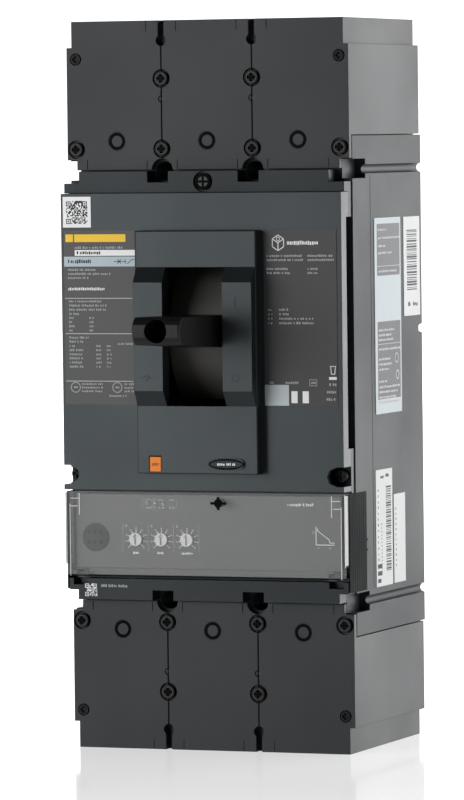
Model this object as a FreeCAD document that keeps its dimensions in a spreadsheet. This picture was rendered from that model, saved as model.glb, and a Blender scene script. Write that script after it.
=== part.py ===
import FreeCAD, Part
import math
import os
import re

import Sketcher
from FreeCAD import Placement, Rotation, Vector

# A three-pole molded case breaker with long terminal covers.
# +X is to the right seen from the front, the front faces -Y, +Z is up.
# The origin is the middle of the flat back, where the breaker is screwed to a plate.

doc = FreeCAD.newDocument("molded_case_breaker")

DIMENSIONS = {
    # case, seen from the front
    "case_width": 140.0,
    "total_height": 340.0,
    "bare_height": 255.0,
    "pole_pitch": 45.0,
    "wall": 3.0,
    "gap": 0.15,
    # depths from the mounting face to the front
    "base_depth": 95.5,
    "terminal_depth": 99.5,
    "rim_depth": 105.5,
    "label_depth": 110.0,
    "raised_depth": 116.4,
    "strip_depth": 121.2,
    "deck_depth": 100.0,
    # mounting holes
    "mount_pitch_x": 45.0,
    "mount_pitch_z": 200.0,
    "mount_hole_radius": 3.0,
    "mount_well_radius": 4.4,
    "mount_seat": 12.0,
    "notch_half": 5.2,
    # base
    "base_shoulder": 115.5,
    "bay_half": 18.5,
    "bay_end": 90.0,
    "bay_floor": 6.0,
    "terminal_bay_start": 104.0,
    "terminal_bay_floor": 20.0,
    "notch_depth": 5.0,
    "groove_radius": 2.1,
    # terminal covers
    "cover_start": 100.6,
    "cover_step": 105.3,
    "cover_neck": 157.8,
    "cover_wide": 70.0,
    "cover_mid": 67.5,
    "cover_slim": 65.2,
    "skirt_start": 116.0,
    "barrier_start": 128.0,
    "seam_gap": 0.5,
    "keyhole_height": 160.6,
    "keyhole_radius": 2.5,
    "keyhole_slot": 2.9,
    "seam_screw_low": 110.3,
    "seam_screw_high": 143.0,
    "seam_head_radius": 3.3,
    "seam_ring_radius": 4.25,
    "seat_sink": 1.6,
    "corner_screw_x": 65.5,
    "small_screw_x": 65.4,
    "small_screw_height": 152.4,
    "small_head_radius": 2.85,
    "recess_half": 0.6,
    "recess_depth": 1.0,
    "plug_height": 114.0,
    "plug_radius": 4.25,
    # main and accessory covers
    "cover_screw_x": 65.6,
    "cover_screw_height": -41.2,
    "main_screw_height": 95.0,
    "thread_radius": 2.0,
    "main_half": 69.5,
    "main_top": 94.5,
    "main_top_half": 62.0,
    "main_bottom_half": 65.0,
    "main_end": 100.0,
    "access_top": 89.8,
    "access_bottom": -48.2,
    "slot_top": 78.2,
    "slot_bottom": -28.5,
    "slot_depth": 103.4,
    "raised_half": 29.8,
    "raised_top": 72.5,
    "raised_bottom": -40.0,
    "panel_edge": 55.7,
    "strip_top": 48.7,
    "strip_bottom": -1.5,
    "strip_foot": -8.6,
    "strip_half": 29.3,
    "window_half": 14.8,
    # handle
    "pivot_depth": 70.0,
    "pivot_height": 24.6,
    "handle_tilt": 1.9,
    "handle_reach": 97.4,
    "handle_width": 23.3,
    "handle_root": 15.2,
    "handle_tip": 12.6,
    "handle_nose": 3.6,
    "handle_hole_radius": 5.4,
    "handle_hole_depth": 22.0,
    "shroud_radius": 36.0,
    "shroud_wall": 1.5,
    "shroud_half": 17.5,
    # trip unit
    "housing_half": 61.0,
    "housing_back": 71.0,
    "port_x": -56.3,
    "port_height": -70.8,
    "port_radius": 6.6,
    "seal_x": 7.5,
    "seal_height": -53.9,
    "seal_radius": 1.9,
    "light_x": -30.5,
    "light_height": -54.8,
    "light_pitch": 4.0,
    "light_radius": 1.1,
    "plunger_x": 10.0,
    "plunger_depth": 90.0,
    "plunger_radius": 2.0,
    "knuckle_start": 60.5,
    "knuckle_end": 64.0,
    "knuckle_radius": 2.2,
    "ear_end": 67.0,
    "trip_top": -50.0,
    "trip_bottom": -89.0,
    "trip_half": 66.0,
    "trip_face": 104.0,
    "flap_half": 69.7,
    "flap_wall": 1.6,
    "flap_hinge_depth": 106.4,
    "flap_hinge_height": -87.2,
    "flap_pin_radius": 1.0,
    "dial_radius": 3.1,
    "dial_height": -71.5,
    "dial_first": -36.0,
    "dial_pitch": 12.75,
    # contacts
    "rotor_depth": 37.0,
    "rotor_radius": 15.0,
    "rotor_half": 14.0,
    "hub_radius": 8.0,
    "shaft_radius": 4.5,
    "arm_reach": 31.0,
    "arm_half": 5.0,
    "arm_thickness": 5.0,
    "tip_thickness": 2.0,
    "open_angle": 22.0,
    "cassette_half": 18.0,
    "cassette_front": 66.0,
    "cassette_back": 8.0,
    "cassette_end": 58.0,
    "cassette_wall": 2.0,
    # current path
    "load_front": 48.6,
    "load_back": 43.6,
    "front_clamp_height": 135.0,
    "rear_clamp_height": 156.0,
    "terminal_hole_radius": 4.0,
    "bar_half": 12.0,
    "bar_back": 28.0,
    "bar_thickness": 5.0,
    "bar_end": 126.0,
    "lug_half": 15.5,
    "lug_front": 86.0,
    "lug_step": 59.0,
    "lug_start": 124.5,
    "lug_mid": 146.0,
    "lug_end": 164.0,
    "lug_bore_radius": 10.0,
    "lug_bore_front": 73.0,
    "lug_bore_back": 46.0,
    "lug_screw_radius": 7.0,
    # mechanism
    "plate_half": 16.0,
    "plate_thickness": 1.5,
    "crank_radius": 20.0,
    "crank_pin_radius": 2.0,
    "knee_depth": 84.0,
    "knee_height": 20.0,
    "pin_radius": 2.5,
    "cradle_depth": 76.0,
    "cradle_height": 44.0,
    # trip linkage
    "badge_x": 14.6,
    "badge_height": -35.3,
    "badge_half": 8.9,
    "badge_radius": 2.55,
    "badge_thickness": 0.8,
    "film_thickness": 0.25,
    "label_thickness": 0.2,
    "trip_bar_depth": 86.0,
    "trip_bar_height": -44.5,
    "button_x": -20.8,
    "button_height": -35.6,
}

sheet = doc.addObject("Spreadsheet::Sheet", "Dims")
for row, (alias, size) in enumerate(DIMENSIONS.items(), start=1):
    sheet.set(f"A{row}", str(size))
    sheet.setAlias(f"A{row}", alias)
doc.recompute()

NAME = re.compile(r"[a-z_]+")
POLES = {"left": -1, "centre": 0, "right": 1}
TURN_TO_X = Rotation(Vector(0, 1, 0), 90)
TURN_TO_Y = Rotation(Vector(1, 0, 0), -90)


def bound(text):
    """The expression that reads every named size in text from the sheet."""
    return NAME.sub(lambda word: "Dims." + word.group(0), str(text))


def size(text):
    """The number that an expression gives, read from the sheet."""
    return float(sheet.evalExpression(bound(text)))


def box(name, x, y, z):
    """A box between two expressions along each axis."""
    solid = doc.addObject("Part::Box", name)
    for side, axis, (low, high) in zip(("Length", "Width", "Height"), "xyz", (x, y, z)):
        solid.setExpression(side, bound(f"({high}) - ({low})"))
        solid.setExpression(f"Placement.Base.{axis}", bound(low))
    return solid


def rod(name, axis, span, radius, **centre):
    """A cylinder along x, y or z between two expressions, about a centre line."""
    solid = doc.addObject("Part::Cylinder", name)
    turn = {"x": TURN_TO_X, "y": TURN_TO_Y, "z": Rotation()}[axis]
    solid.Placement = Placement(Vector(), turn)
    solid.setExpression("Radius", bound(radius))
    solid.setExpression("Height", bound(f"({span[1]}) - ({span[0]})"))
    solid.setExpression(f"Placement.Base.{axis}", bound(span[0]))
    for other, place in centre.items():
        solid.setExpression(f"Placement.Base.{other}", bound(place))
    return solid


def fuse(name, *solids):
    """One solid out of several that touch."""
    joined = doc.addObject("Part::MultiFuse", name)
    joined.Shapes = list(solids)
    return joined


def cut(name, base, *tools):
    """The base with every tool taken away."""
    left = doc.addObject("Part::Cut", name)
    left.Base = base
    left.Tool = tools[0] if len(tools) == 1 else fuse(name + "_tools", *tools)
    return left


def group(name, *solids):
    """Identical separate solids kept together as one sub-part."""
    together = doc.addObject("Part::Compound", name)
    together.Links = list(solids)
    return together


def sketch_on(body, plane, offset):
    """An empty sketch on one of the body's origin planes, moved along its normal."""
    support = next(item for item in body.Origin.OriginFeatures if item.Role == plane)
    sketch = body.newObject("Sketcher::SketchObject", body.Name + "_sketch")
    sketch.AttachmentSupport = [(support, "")]
    sketch.MapMode = "FlatFace"
    sketch.setExpression("AttachmentOffset.Base.z", bound(offset))
    return sketch


def fix_point(sketch, edge, end, x, y):
    """Tie one end of an edge to two expressions."""
    for kind, place in (("DistanceX", x), ("DistanceY", y)):
        index = sketch.addConstraint(Sketcher.Constraint(kind, -1, 1, edge, end, 1.0))
        sketch.setExpression(f"Constraints[{index}]", bound(place))


def polygon(sketch, points):
    """A closed outline of straight lines through the points."""
    corners = [Vector(size(x), size(y), 0) for x, y in points]
    first = sketch.GeometryCount
    count = len(points)
    for number in range(count):
        line = Part.LineSegment(corners[number], corners[(number + 1) % count])
        sketch.addGeometry(line, False)
    for number in range(count):
        following = first + (number + 1) % count
        sketch.addConstraint(Sketcher.Constraint("Coincident", first + number, 2, following, 1))
    for number, (x, y) in enumerate(points):
        fix_point(sketch, first + number, 1, x, y)


def circle(sketch, x, y, radius):
    """A circle about two expressions."""
    edge = sketch.addGeometry(Part.Circle(Vector(), Vector(0, 0, 1), 1.0), False)
    fix_point(sketch, edge, 3, x, y)
    index = sketch.addConstraint(Sketcher.Constraint("Radius", edge, 1.0))
    sketch.setExpression(f"Constraints[{index}]", bound(radius))


def rectangle(sketch, x, y):
    """A rectangle between two expressions each way."""
    polygon(sketch, [(x[0], y[0]), (x[1], y[0]), (x[1], y[1]), (x[0], y[1])])


def pad(body, plane, span, *outlines):
    """Add material over the outlines, from one expression to another along the normal."""
    sketch = sketch_on(body, plane, span[0])
    for shape, *sizes in outlines:
        shape(sketch, *sizes)
    feature = body.newObject("PartDesign::Pad", body.Name + "_pad")
    feature.Profile = sketch
    feature.setExpression("Length", bound(f"({span[1]}) - ({span[0]})"))
    body.Tip = feature
    return feature


def pocket(body, plane, span, *outlines):
    """Take material away over the outlines, from span[1] back to span[0]."""
    sketch = sketch_on(body, plane, span[1])
    for shape, *sizes in outlines:
        shape(sketch, *sizes)
    feature = body.newObject("PartDesign::Pocket", body.Name + "_pocket")
    feature.Profile = sketch
    feature.setExpression("Length", bound(f"({span[1]}) - ({span[0]})"))
    body.Tip = feature
    return feature


def new_body(name):
    """An empty body whose label names its sub-part."""
    return doc.addObject("PartDesign::Body", name)


def soften(body, radius, chosen):
    """Round the edges that chosen(edge) accepts."""
    doc.recompute()
    base = body.Tip
    edges = [f"Edge{n}" for n, edge in enumerate(base.Shape.Edges, start=1) if chosen(edge)]
    feature = body.newObject("PartDesign::Fillet", body.Name + "_fillet")
    feature.Base = (base, edges)
    feature.Radius = radius
    body.Tip = feature


def bevel(body, size, chosen):
    """Chamfer the edges that chosen(edge) accepts."""
    doc.recompute()
    base = body.Tip
    edges = [f"Edge{n}" for n, edge in enumerate(base.Shape.Edges, start=1) if chosen(edge)]
    feature = body.newObject("PartDesign::Chamfer", body.Name + "_chamfer")
    feature.Base = (base, edges)
    feature.Size = size
    body.Tip = feature


def faces_front(depth):
    """Accept the straight edges that lie in the plane this far in front of the back."""
    def chosen(edge):
        ends = [point.Point.y for point in edge.Vertexes]
        return len(ends) == 2 and all(abs(end + depth) < 0.01 for end in ends)
    return chosen


def on_outline(edge, half, top, bottom):
    """Accept an edge that runs along a rectangle of this half width, top and bottom."""
    ends = [point.Point for point in edge.Vertexes]
    upright = all(abs(abs(end.x) - half) < 0.01 for end in ends)
    return upright or any(all(abs(end.z - level) < 0.01 for end in ends) for level in (top, bottom))


FRONT = "XZ_Plane"
SIDE = "YZ_Plane"


def pole_x(side):
    """The middle of a pole, as an expression."""
    return f"{POLES[side]} * pole_pitch"


def front_hole(name, x, z, radius, span):
    """A round tool that runs from front to back, between two depths behind the front."""
    return rod(name, "y", (f"-({span[1]})", f"-({span[0]})"), radius, x=x, z=z)


def mirrored_span(sign, low, high):
    """A span, turned over to the other side of the middle when sign is -1."""
    return (low, high) if sign == 1 else (f"-({high})", f"-({low})")


# Base: deep moulding, open at the front, with a bay for each pole
def make_base():
    deep = ("-base_depth", "0")
    block = box("base_block", ("-case_width / 2", "case_width / 2"), deep,
                ("-base_shoulder", "base_shoulder"))
    ends = box("base_ends", ("-case_width / 2 + 3.5", "case_width / 2 - 3.5"),
               ("-base_depth + 2.5", "0"), ("-bare_height / 2", "bare_height / 2"))
    tools = []
    holes = []
    for side in POLES:
        bay = (f"{pole_x(side)} - bay_half", f"{pole_x(side)} + bay_half")
        bar = (f"{pole_x(side)} - bar_half - 0.5", f"{pole_x(side)} + bar_half + 0.5")
        tools.append(box("pole_bay", bay, ("-base_depth - 1", "-bay_floor"), ("-bay_end", "bay_end")))
        for end in (1, -1):
            open_end = mirrored_span(end, "terminal_bay_start", "bare_height / 2 + 1")
            slot = mirrored_span(end, "bay_end - 1", "terminal_bay_start + 1")
            tools.append(box("terminal_bay", bay, ("-base_depth - 1", "-terminal_bay_floor"), open_end))
            tools.append(box("bar_slot", bar, ("-bar_back - bar_thickness - 0.5", "-bar_back + 0.5"), slot))
    tools.append(box("trip_unit_bay", ("-62", "62"), ("-base_depth - 1", "-70"), ("-bay_end", "-48")))
    tools.append(box("trip_bar_bay", ("-30", "22"), ("-base_depth - 1", "-75"), ("-49", "-28")))
    for x in (1, -1):
        wall = mirrored_span(x, "17.5", "27.5")
        tools.append(box("shaft_slot", wall, ("-base_depth - 1", "-rotor_depth + 6"), ("-6", "6")))
        edge = mirrored_span(x, "case_width / 2 - notch_depth", "case_width / 2 + 1")
        rim = f"{x} * case_width / 2"
        holes.append(front_hole("edge_mark", rim, "23.6", "groove_radius", ("-1", "5")))
        for z in (1, -1):
            place = (f"{x} * mount_pitch_x / 2", f"{z} * mount_pitch_z / 2")
            holes.append(front_hole("mount_well", *place, "mount_well_radius",
                                    ("mount_seat", "base_depth + 1")))
            holes.append(front_hole("mount_hole", *place, "mount_hole_radius", ("-1", "mount_seat + 1")))
            tools.append(box("corner_notch", edge, ("-base_depth - 1", "-78"),
                             mirrored_span(z, "95.8", "104.8")))
            holes.append(front_hole("side_groove", rim, place[1], "groove_radius", ("-1", "83.6")))
            screw = f"{z} * seam_screw_low"
            for across in (f"{x} * pole_pitch / 2", f"{x} * corner_screw_x"):
                holes.append(front_hole("screw_hole", across, screw, "thread_radius",
                                        ("70", "base_depth + 1")))
    hollowed = cut("base_hollowed", fuse("base_blank", block, ends), *tools)
    cut("base_case", hollowed, *holes)


make_base()


# Main cover: the deck over the base, with a raised rim above and below the front
def make_main_cover():
    body = new_body("main_cover")
    under = "base_depth + gap"
    pad(body, FRONT, (under, "deck_depth - gap"),
        (rectangle, ("-main_half", "main_half"), ("-main_top - 0.9", "main_top")))
    pad(body, FRONT, (under, "rim_depth"),
        (rectangle, ("-main_half", "main_half"), ("access_top + gap", "main_top")))
    pad(body, FRONT, (under, "rim_depth"),
        (rectangle, ("-main_top_half", "main_top_half"), ("main_top - 0.1", "main_end")))
    pad(body, FRONT, (under, "rim_depth - 0.5"),
        (rectangle, ("-main_half", "main_half"), ("-main_top - 0.9", "trip_bottom - 1")))
    pad(body, FRONT, (under, "rim_depth - 0.5"),
        (rectangle, ("-main_bottom_half", "main_bottom_half"), ("-main_end", "-main_top - 0.8")))
    outlines = [(rectangle, ("-30", "22"), ("-48", "64")),
                (rectangle, ("-61.5", "61.5"), ("trip_bottom", "trip_top"))]
    pocket(body, FRONT, (under, "deck_depth"), *outlines)
    for x in (1, -1):
        notch = (f"{x} * mount_pitch_x / 2 - notch_half", f"{x} * mount_pitch_x / 2 + notch_half")
        pocket(body, FRONT, (under, "rim_depth"), (rectangle, notch, ("94.8", "main_end")),
               (rectangle, notch, ("-main_end", "-95.3")))
        side = (f"{x} * main_half", f"{x} * 66")
        pocket(body, FRONT, (under, "deck_depth"), (rectangle, side, ("slot_bottom", "slot_top")))
        pocket(body, FRONT, ("deck_depth", "rim_depth"),
               (rectangle, (f"{x} * 60", f"{x} * 67.3"), ("-93", "-89.9")))
        pocket(body, FRONT, (under, "deck_depth"),
               (circle, f"{x} * cover_screw_x", "cover_screw_height", "1.6"))
    pocket(body, FRONT, ("rim_depth - 1.6", "rim_depth"), (circle, "0", "main_screw_height", "4.75"))
    pocket(body, FRONT, (under, "rim_depth"), (circle, "0", "main_screw_height", "thread_radius"))


make_main_cover()


# Accessory cover: the front moulding with the raised box around the handle window
def make_accessory_cover():
    body = new_body("accessory_cover")
    tall = ("access_bottom", "access_top")
    pad(body, FRONT, ("deck_depth", "label_depth"), (rectangle, ("-main_half", "main_half"), tall))
    raised = (rectangle, ("-raised_half", "raised_half"), ("raised_bottom", "raised_top"))
    pad(body, FRONT, ("label_depth - 1", "raised_depth"), raised)
    profile = [("-raised_depth + 1", "panel_edge"), ("-raised_depth", "panel_edge"),
               ("-strip_depth", "strip_top"), ("-strip_depth", "strip_bottom"),
               ("-raised_depth", "strip_foot"), ("-raised_depth + 1", "strip_foot")]
    pad(body, SIDE, ("-strip_half", "strip_half"), (polygon, profile))
    inner = (rectangle, ("-main_half + 2", "main_half - 2"), ("access_bottom + 2", "access_top - 2"))
    pocket(body, FRONT, ("deck_depth", "label_depth - wall"), inner)
    hollow = (rectangle, ("-raised_half + 3", "raised_half - 3"), ("raised_bottom + 3", "raised_top - 3"))
    pocket(body, FRONT, ("label_depth - wall - 1", "raised_depth - wall"), hollow)
    half = ("-window_half", "window_half")
    pocket(body, FRONT, ("label_depth - 4", "strip_depth"),
           (rectangle, half, ("strip_foot", "panel_edge - 0.1")))
    for x in (1, -1):
        side = (f"{x} * main_half", f"{x} * (main_half - 3)")
        pocket(body, FRONT, ("deck_depth", "slot_depth"), (rectangle, side, ("slot_bottom", "slot_top")))
    corner = (polygon, [("main_half", "-45.7"), ("main_half", "-36.7"), ("66", "-36.7"),
                        ("62.4", "-38.3"), ("61.4", "-41.2"), ("62.4", "-44.1"), ("66", "-45.7")])
    pocket(body, FRONT, ("deck_depth", "label_depth"), corner)
    pocket(body, FRONT, ("deck_depth", "label_depth"),
           (rectangle, ("-main_half", "-66"), ("-45.7", "-36.8")))
    pocket(body, FRONT, ("deck_depth", "label_depth"),
           (circle, "-cover_screw_x", "cover_screw_height", "3.6"))
    button = (rectangle, ("button_x - 2.8", "button_x + 2.8"),
              ("button_height - 3.5", "button_height + 3.5"))
    pocket(body, FRONT, ("label_depth - 4", "raised_depth"), button)
    outline = faces_front(size("raised_depth"))
    limits = (size("raised_half"), size("raised_top"), size("raised_bottom"))
    bevel(body, 0.4, lambda edge: outline(edge) and on_outline(edge, *limits))


make_accessory_cover()


# Terminal covers: three segments above the case and three below, meeting on seams between poles
def terminal_plate(end, side):
    """The front of one segment, in three bands of different width."""
    lean = POLES[side]
    seam = "pole_pitch / 2 - seam_gap / 2"
    if lean == 0:
        spans = [(f"-({seam})", seam)] * 3
    else:
        widths = ("cover_slim", "cover_wide", "cover_mid")
        spans = [mirrored_span(lean, "pole_pitch / 2 + seam_gap / 2", width) for width in widths]
    levels = [("cover_start", "cover_step"), ("cover_step", "cover_neck"),
              ("cover_neck", "total_height / 2")]
    front = ("-terminal_depth", "-base_depth - 1")
    bands = [box("cover_band", across, front, mirrored_span(end, *upright))
             for across, upright in zip(spans, levels)]
    return bands


def terminal_cover(name, end, side):
    lean = POLES[side]
    solids = terminal_plate(end, side)
    depth = ("-base_depth - 1", "-2")
    top = mirrored_span(end, "total_height / 2 - 2.5", "total_height / 2")
    middle = pole_x(side)
    if lean == 0:
        for x in (1, -1):
            wall = mirrored_span(x, "pole_pitch / 2 - 3", "pole_pitch / 2 + 3")
            solids.append(box("barrier", wall, depth,
                              mirrored_span(end, "barrier_start", "total_height / 2 - 2.6")))
        across = ("-pole_pitch / 2 + seam_gap / 2", "pole_pitch / 2 - seam_gap / 2")
    else:
        skirt = mirrored_span(lean, "case_width / 2 - 3", "case_width / 2")
        slim = mirrored_span(lean, "cover_mid - 3", "cover_mid")
        solids.append(box("skirt", skirt, depth, mirrored_span(end, "skirt_start", "cover_neck")))
        solids.append(box("neck_skirt", slim, depth,
                          mirrored_span(end, "cover_neck - 1", "total_height / 2")))
        across = mirrored_span(lean, "pole_pitch / 2 + seam_gap / 2", "cover_mid")
    solids.append(box("end_wall", across, depth, top))
    blank = fuse(name + "_blank", *solids)
    tools = []
    opening = (f"{middle} - lug_bore_radius - 4", f"{middle} + lug_bore_radius + 4")
    tools.append(box("cable_opening", opening, ("-lug_front", "-31"),
                     mirrored_span(end, "total_height / 2 - 4", "total_height / 2 + 1")))
    seams = [x for x in (-1, 1) if lean == 0 or x == lean]
    thick = ("base_depth - 0.5", "terminal_depth + 1")
    ring = ("terminal_depth - seat_sink", "terminal_depth + 1")
    for x in seams:
        seam_x = f"{x} * pole_pitch / 2"
        tools.append(front_hole("keyhole", seam_x, f"{end} * keyhole_height", "keyhole_radius", thick))
        half = ("keyhole_slot / 2")
        tools.append(box("key_slot", (f"{seam_x} - {half}", f"{seam_x} + {half}"),
                         ("-terminal_depth - 1", "-base_depth + 0.5"),
                         mirrored_span(end, "keyhole_height", "total_height / 2 + 1")))
        tools.append(front_hole("notch", seam_x, f"{end} * cover_start", "notch_half", thick))
        for height in ("seam_screw_low", "seam_screw_high"):
            tools.append(front_hole("screw_seat", seam_x, f"{end} * {height}", "seam_ring_radius", ring))
            tools.append(front_hole("screw_hole", seam_x, f"{end} * {height}", "thread_radius", thick))
    if lean == 0:
        for x in (1, -1):
            tools.append(front_hole("barrier_hole", f"{x} * pole_pitch / 2", f"{end} * seam_screw_high",
                                    "thread_radius", ("80", "base_depth + 2")))
    else:
        tools.append(front_hole("screw_seat", f"{lean} * corner_screw_x", f"{end} * seam_screw_low",
                                "seam_ring_radius", ring))
        tools.append(front_hole("screw_hole", f"{lean} * corner_screw_x", f"{end} * seam_screw_low",
                                "thread_radius", thick))
        tools.append(front_hole("small_seat", f"{lean} * small_screw_x", f"{end} * small_screw_height",
                                "small_head_radius", ring))
    tools.append(front_hole("plug_hole", middle, f"{end} * plug_height", "plug_radius + 0.05", thick))
    cut(name, blank, *tools)


ENDS = {"upper": 1, "lower": -1}
for end_name, end in ENDS.items():
    for side in POLES:
        terminal_cover(f"{end_name}_terminal_cover_{side}", end, side)


# Screws: a round head with a cross recess over a plain shank
def cross_recess(x, z, head, reach):
    """Two crossing bars that sink into the front of a screw head."""
    deep = (f"-({head}) - 1", f"-({head}) + recess_depth")
    return [box("cross_bar", (f"{x} - {wide}", f"{x} + {wide}"), deep, (f"{z} - {tall}", f"{z} + {tall}"))
            for wide, tall in ((reach, "recess_half"), ("recess_half", reach))]


def screw(name, x, z, head, seat, tip, head_radius, shank_radius="1.9"):
    """A screw whose head stands from seat to head in front of the back, with its tip at tip."""
    cap = front_hole(name + "_head", x, z, head_radius, (seat, head))
    shank = front_hole(name + "_shank", x, z, shank_radius, (tip, f"{seat} + 0.1"))
    bars = cross_recess(x, z, head, "2.1")
    return cut(name, fuse(name + "_blank", cap, shank), *bars)


def make_cover_screws():
    seat = "terminal_depth - seat_sink"
    head = "terminal_depth + 0.9"
    large = []
    small = []
    for end in (1, -1):
        for x in (1, -1):
            for height in ("seam_screw_low", "seam_screw_high"):
                large.append(screw("seam_screw", f"{x} * pole_pitch / 2", f"{end} * {height}",
                                   head, seat, "82", "seam_head_radius"))
            large.append(screw("corner_screw", f"{x} * corner_screw_x", f"{end} * seam_screw_low",
                               head, seat, "82", "seam_head_radius"))
            place = (f"{x} * small_screw_x", f"{end} * small_screw_height")
            stub = front_hole("small_head", *place, "small_head_radius - 0.4",
                              (seat, "terminal_depth + 0.3"))
            stub = cut("small_screw", stub, *cross_recess(*place, "terminal_depth + 0.3", "1.5"))
            small.append(stub)
    group("terminal_cover_screws", *large)
    group("terminal_corner_caps", *small)
    screw("main_cover_screw", "0", "main_screw_height", "rim_depth", "rim_depth - 1.6", "base_depth + 1",
          "3.9")
    corner = [screw("cover_screw", x, "cover_screw_height", "deck_depth + 3", "deck_depth - gap",
                    "base_depth + 1", "2.9", "1.5") for x in ("-cover_screw_x", "cover_screw_x")]
    group("accessory_cover_screws", *corner)


make_cover_screws()


# Plugs: round discs that close the access holes over the terminal screws
def make_plugs():
    plugs = []
    for end in (1, -1):
        for side in POLES:
            x = pole_x(side)
            z = f"{end} * plug_height"
            disc = front_hole("plug_disc", x, z, "plug_radius",
                              ("base_depth + 1.1", "terminal_depth - 0.1"))
            outer = front_hole("plug_ring", x, z, "plug_radius - 0.2",
                               ("terminal_depth - 2.1", "terminal_depth + 1"))
            inner = front_hole("plug_core", x, z, "plug_radius - 1.6",
                               ("terminal_depth - 3", "terminal_depth + 2"))
            plugs.append(cut("terminal_plug", disc, cut("plug_groove", outer, inner)))
    group("terminal_plugs", *plugs)


make_plugs()


# Handle: a bar that swings about the pivot; it is drawn with the pivot at its own origin
HANDLE_PLACE = Placement(Vector(0, -size("pivot_depth"), size("pivot_height")),
                         Rotation(Vector(1, 0, 0), -size("handle_tilt")))


def place_on_pivot(part):
    """Move a piece drawn about the pivot to the pivot's place."""
    part.Placement = HANDLE_PLACE


def make_handle():
    body = new_body("handle")
    root = "shroud_radius + 0.05"
    straight = "handle_reach - handle_nose"
    outline = [(f"-({root}) + 2", "-handle_root / 2"), (f"-({root}) - 14", "-handle_root / 2 + 0.4"),
               (f"-({straight})", "-handle_tip / 2"), ("-handle_reach + 1.5", "-handle_tip / 2 + 1.6"),
               ("-handle_reach + 0.4", "-handle_tip / 2 + 3.4"), ("-handle_reach", "0"),
               ("-handle_reach + 0.4", "handle_tip / 2 - 3.4"),
               ("-handle_reach + 1.5", "handle_tip / 2 - 1.6"), (f"-({straight})", "handle_tip / 2"),
               (f"-({root}) - 14", "handle_root / 2 - 0.4"), (f"-({root}) + 2", "handle_root / 2")]
    pad(body, SIDE, ("-handle_width / 2", "handle_width / 2"), (polygon, outline))
    pad(body, FRONT, ("31.2", f"{root} + 3"), (rectangle, ("-7.9", "7.9"), ("-3.9", "3.9")))
    pocket(body, FRONT, ("handle_reach - handle_hole_depth", "handle_reach + 1"),
           (circle, "0", "0", "handle_hole_radius"))
    soften(body, 0.9, lambda edge: all(abs(point.Point.y) > 60 for point in edge.Vertexes)
           and all(abs(abs(point.Point.x) - size("handle_width") / 2) < 0.01 for point in edge.Vertexes)
           and abs(edge.Vertexes[0].Point.y - edge.Vertexes[-1].Point.y) > 0.2)
    return body


def make_shroud():
    """A curved shutter about the pivot, with a slot for the handle's tenon."""
    across = ("-shroud_half", "shroud_half")
    outer = rod("shroud_outer", "x", across, "shroud_radius")
    inner = rod("shroud_inner", "x", ("-shroud_half - 1", "shroud_half + 1"), "shroud_radius - shroud_wall")
    slot = box("shroud_slot", ("-7.95", "7.95"), ("-40", "-30"), ("-3.95", "3.95"))
    shell = cut("shroud_ring", outer, inner, slot)
    wedge = body_wedge()
    shutter = doc.addObject("Part::Common", "handle_shroud")
    shutter.Base = shell
    shutter.Tool = wedge
    return shutter


def body_wedge():
    """The part of the ring that the shutter keeps."""
    wedge = new_body("shroud_wedge")
    pad(wedge, SIDE, ("-30", "30"),
        (polygon, [("-4", "0"), ("-24", "-50"), ("-50", "-50"), ("-50", "50"), ("-24", "50")]))
    return wedge


def make_yoke():
    """The steel fork that carries the handle on the pivot pins."""
    body = new_body("handle_yoke")
    arm = (polygon, [("3.4", "-1.5"), ("3.4", "1.5"), ("0", "4.5"), ("-20", "5.5"), ("-31", "5.5"),
                     ("-31", "-5.5"),
                     ("-20", "-5.5"), ("0", "-4.5")])
    pad(body, SIDE, ("-14", "14"), arm)
    pocket(body, SIDE, ("-12.5", "12.5"),
           (rectangle, ("-29.2", "5"), ("-6", "6")))
    pocket(body, SIDE, ("-15", "15"), (circle, "0", "0", "pin_radius + 0.05"))
    return body


def handle_body():
    handle = make_handle()
    shroud = make_shroud()
    yoke = make_yoke()
    ring_gap = rod("handle_seat", "x", ("-20", "20"), "shroud_radius + 0.04")
    hollowed = cut("handle_bar", handle, ring_gap)
    tenon = box("handle_tenon", ("-7.9", "7.9"), ("-shroud_radius - 2", "-31.2"), ("-3.9", "3.9"))
    whole = fuse("whole_handle", hollowed, tenon)
    for piece in (whole, shroud, yoke):
        place_on_pivot(piece)
    whole.Label = "swing_handle"


handle_body()


def make_plates():
    """Two steel side plates that hold the pivot pins and the cradle pin."""
    tools = []
    pin = "pin_radius + 0.02"
    outline = [("-67.5", "-1"), ("-88", "2"), ("-94", "14"), ("-94", "34"), ("-88", "48"), ("-67.5", "51")]
    body = new_body("side_plates_blank")
    pad(body, SIDE, ("-plate_half", "plate_half"), (polygon, outline))
    across = ("-plate_half - 1", "plate_half + 1")
    tools.append(box("between_plates", ("-plate_half + plate_thickness", "plate_half - plate_thickness"),
                     ("-100", "-60"), ("-10", "60")))
    tools.append(rod("pivot_hole", "x", across, pin, y="-pivot_depth", z="pivot_height"))
    tools.append(rod("cradle_hole", "x", across, pin, y="-cradle_depth", z="cradle_height"))
    cut("mechanism_side_plates", body, *tools)
    stubs = [rod("pivot_pin", "x", mirrored_span(x, "10", "plate_half"), "pin_radius",
                 y="-pivot_depth", z="pivot_height") for x in (1, -1)]
    group("handle_pivot_pins", *stubs)
    rod("cradle_pin", "x", ("-plate_half", "plate_half"), "pin_radius", y="-cradle_depth",
        z="cradle_height")


make_plates()


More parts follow.
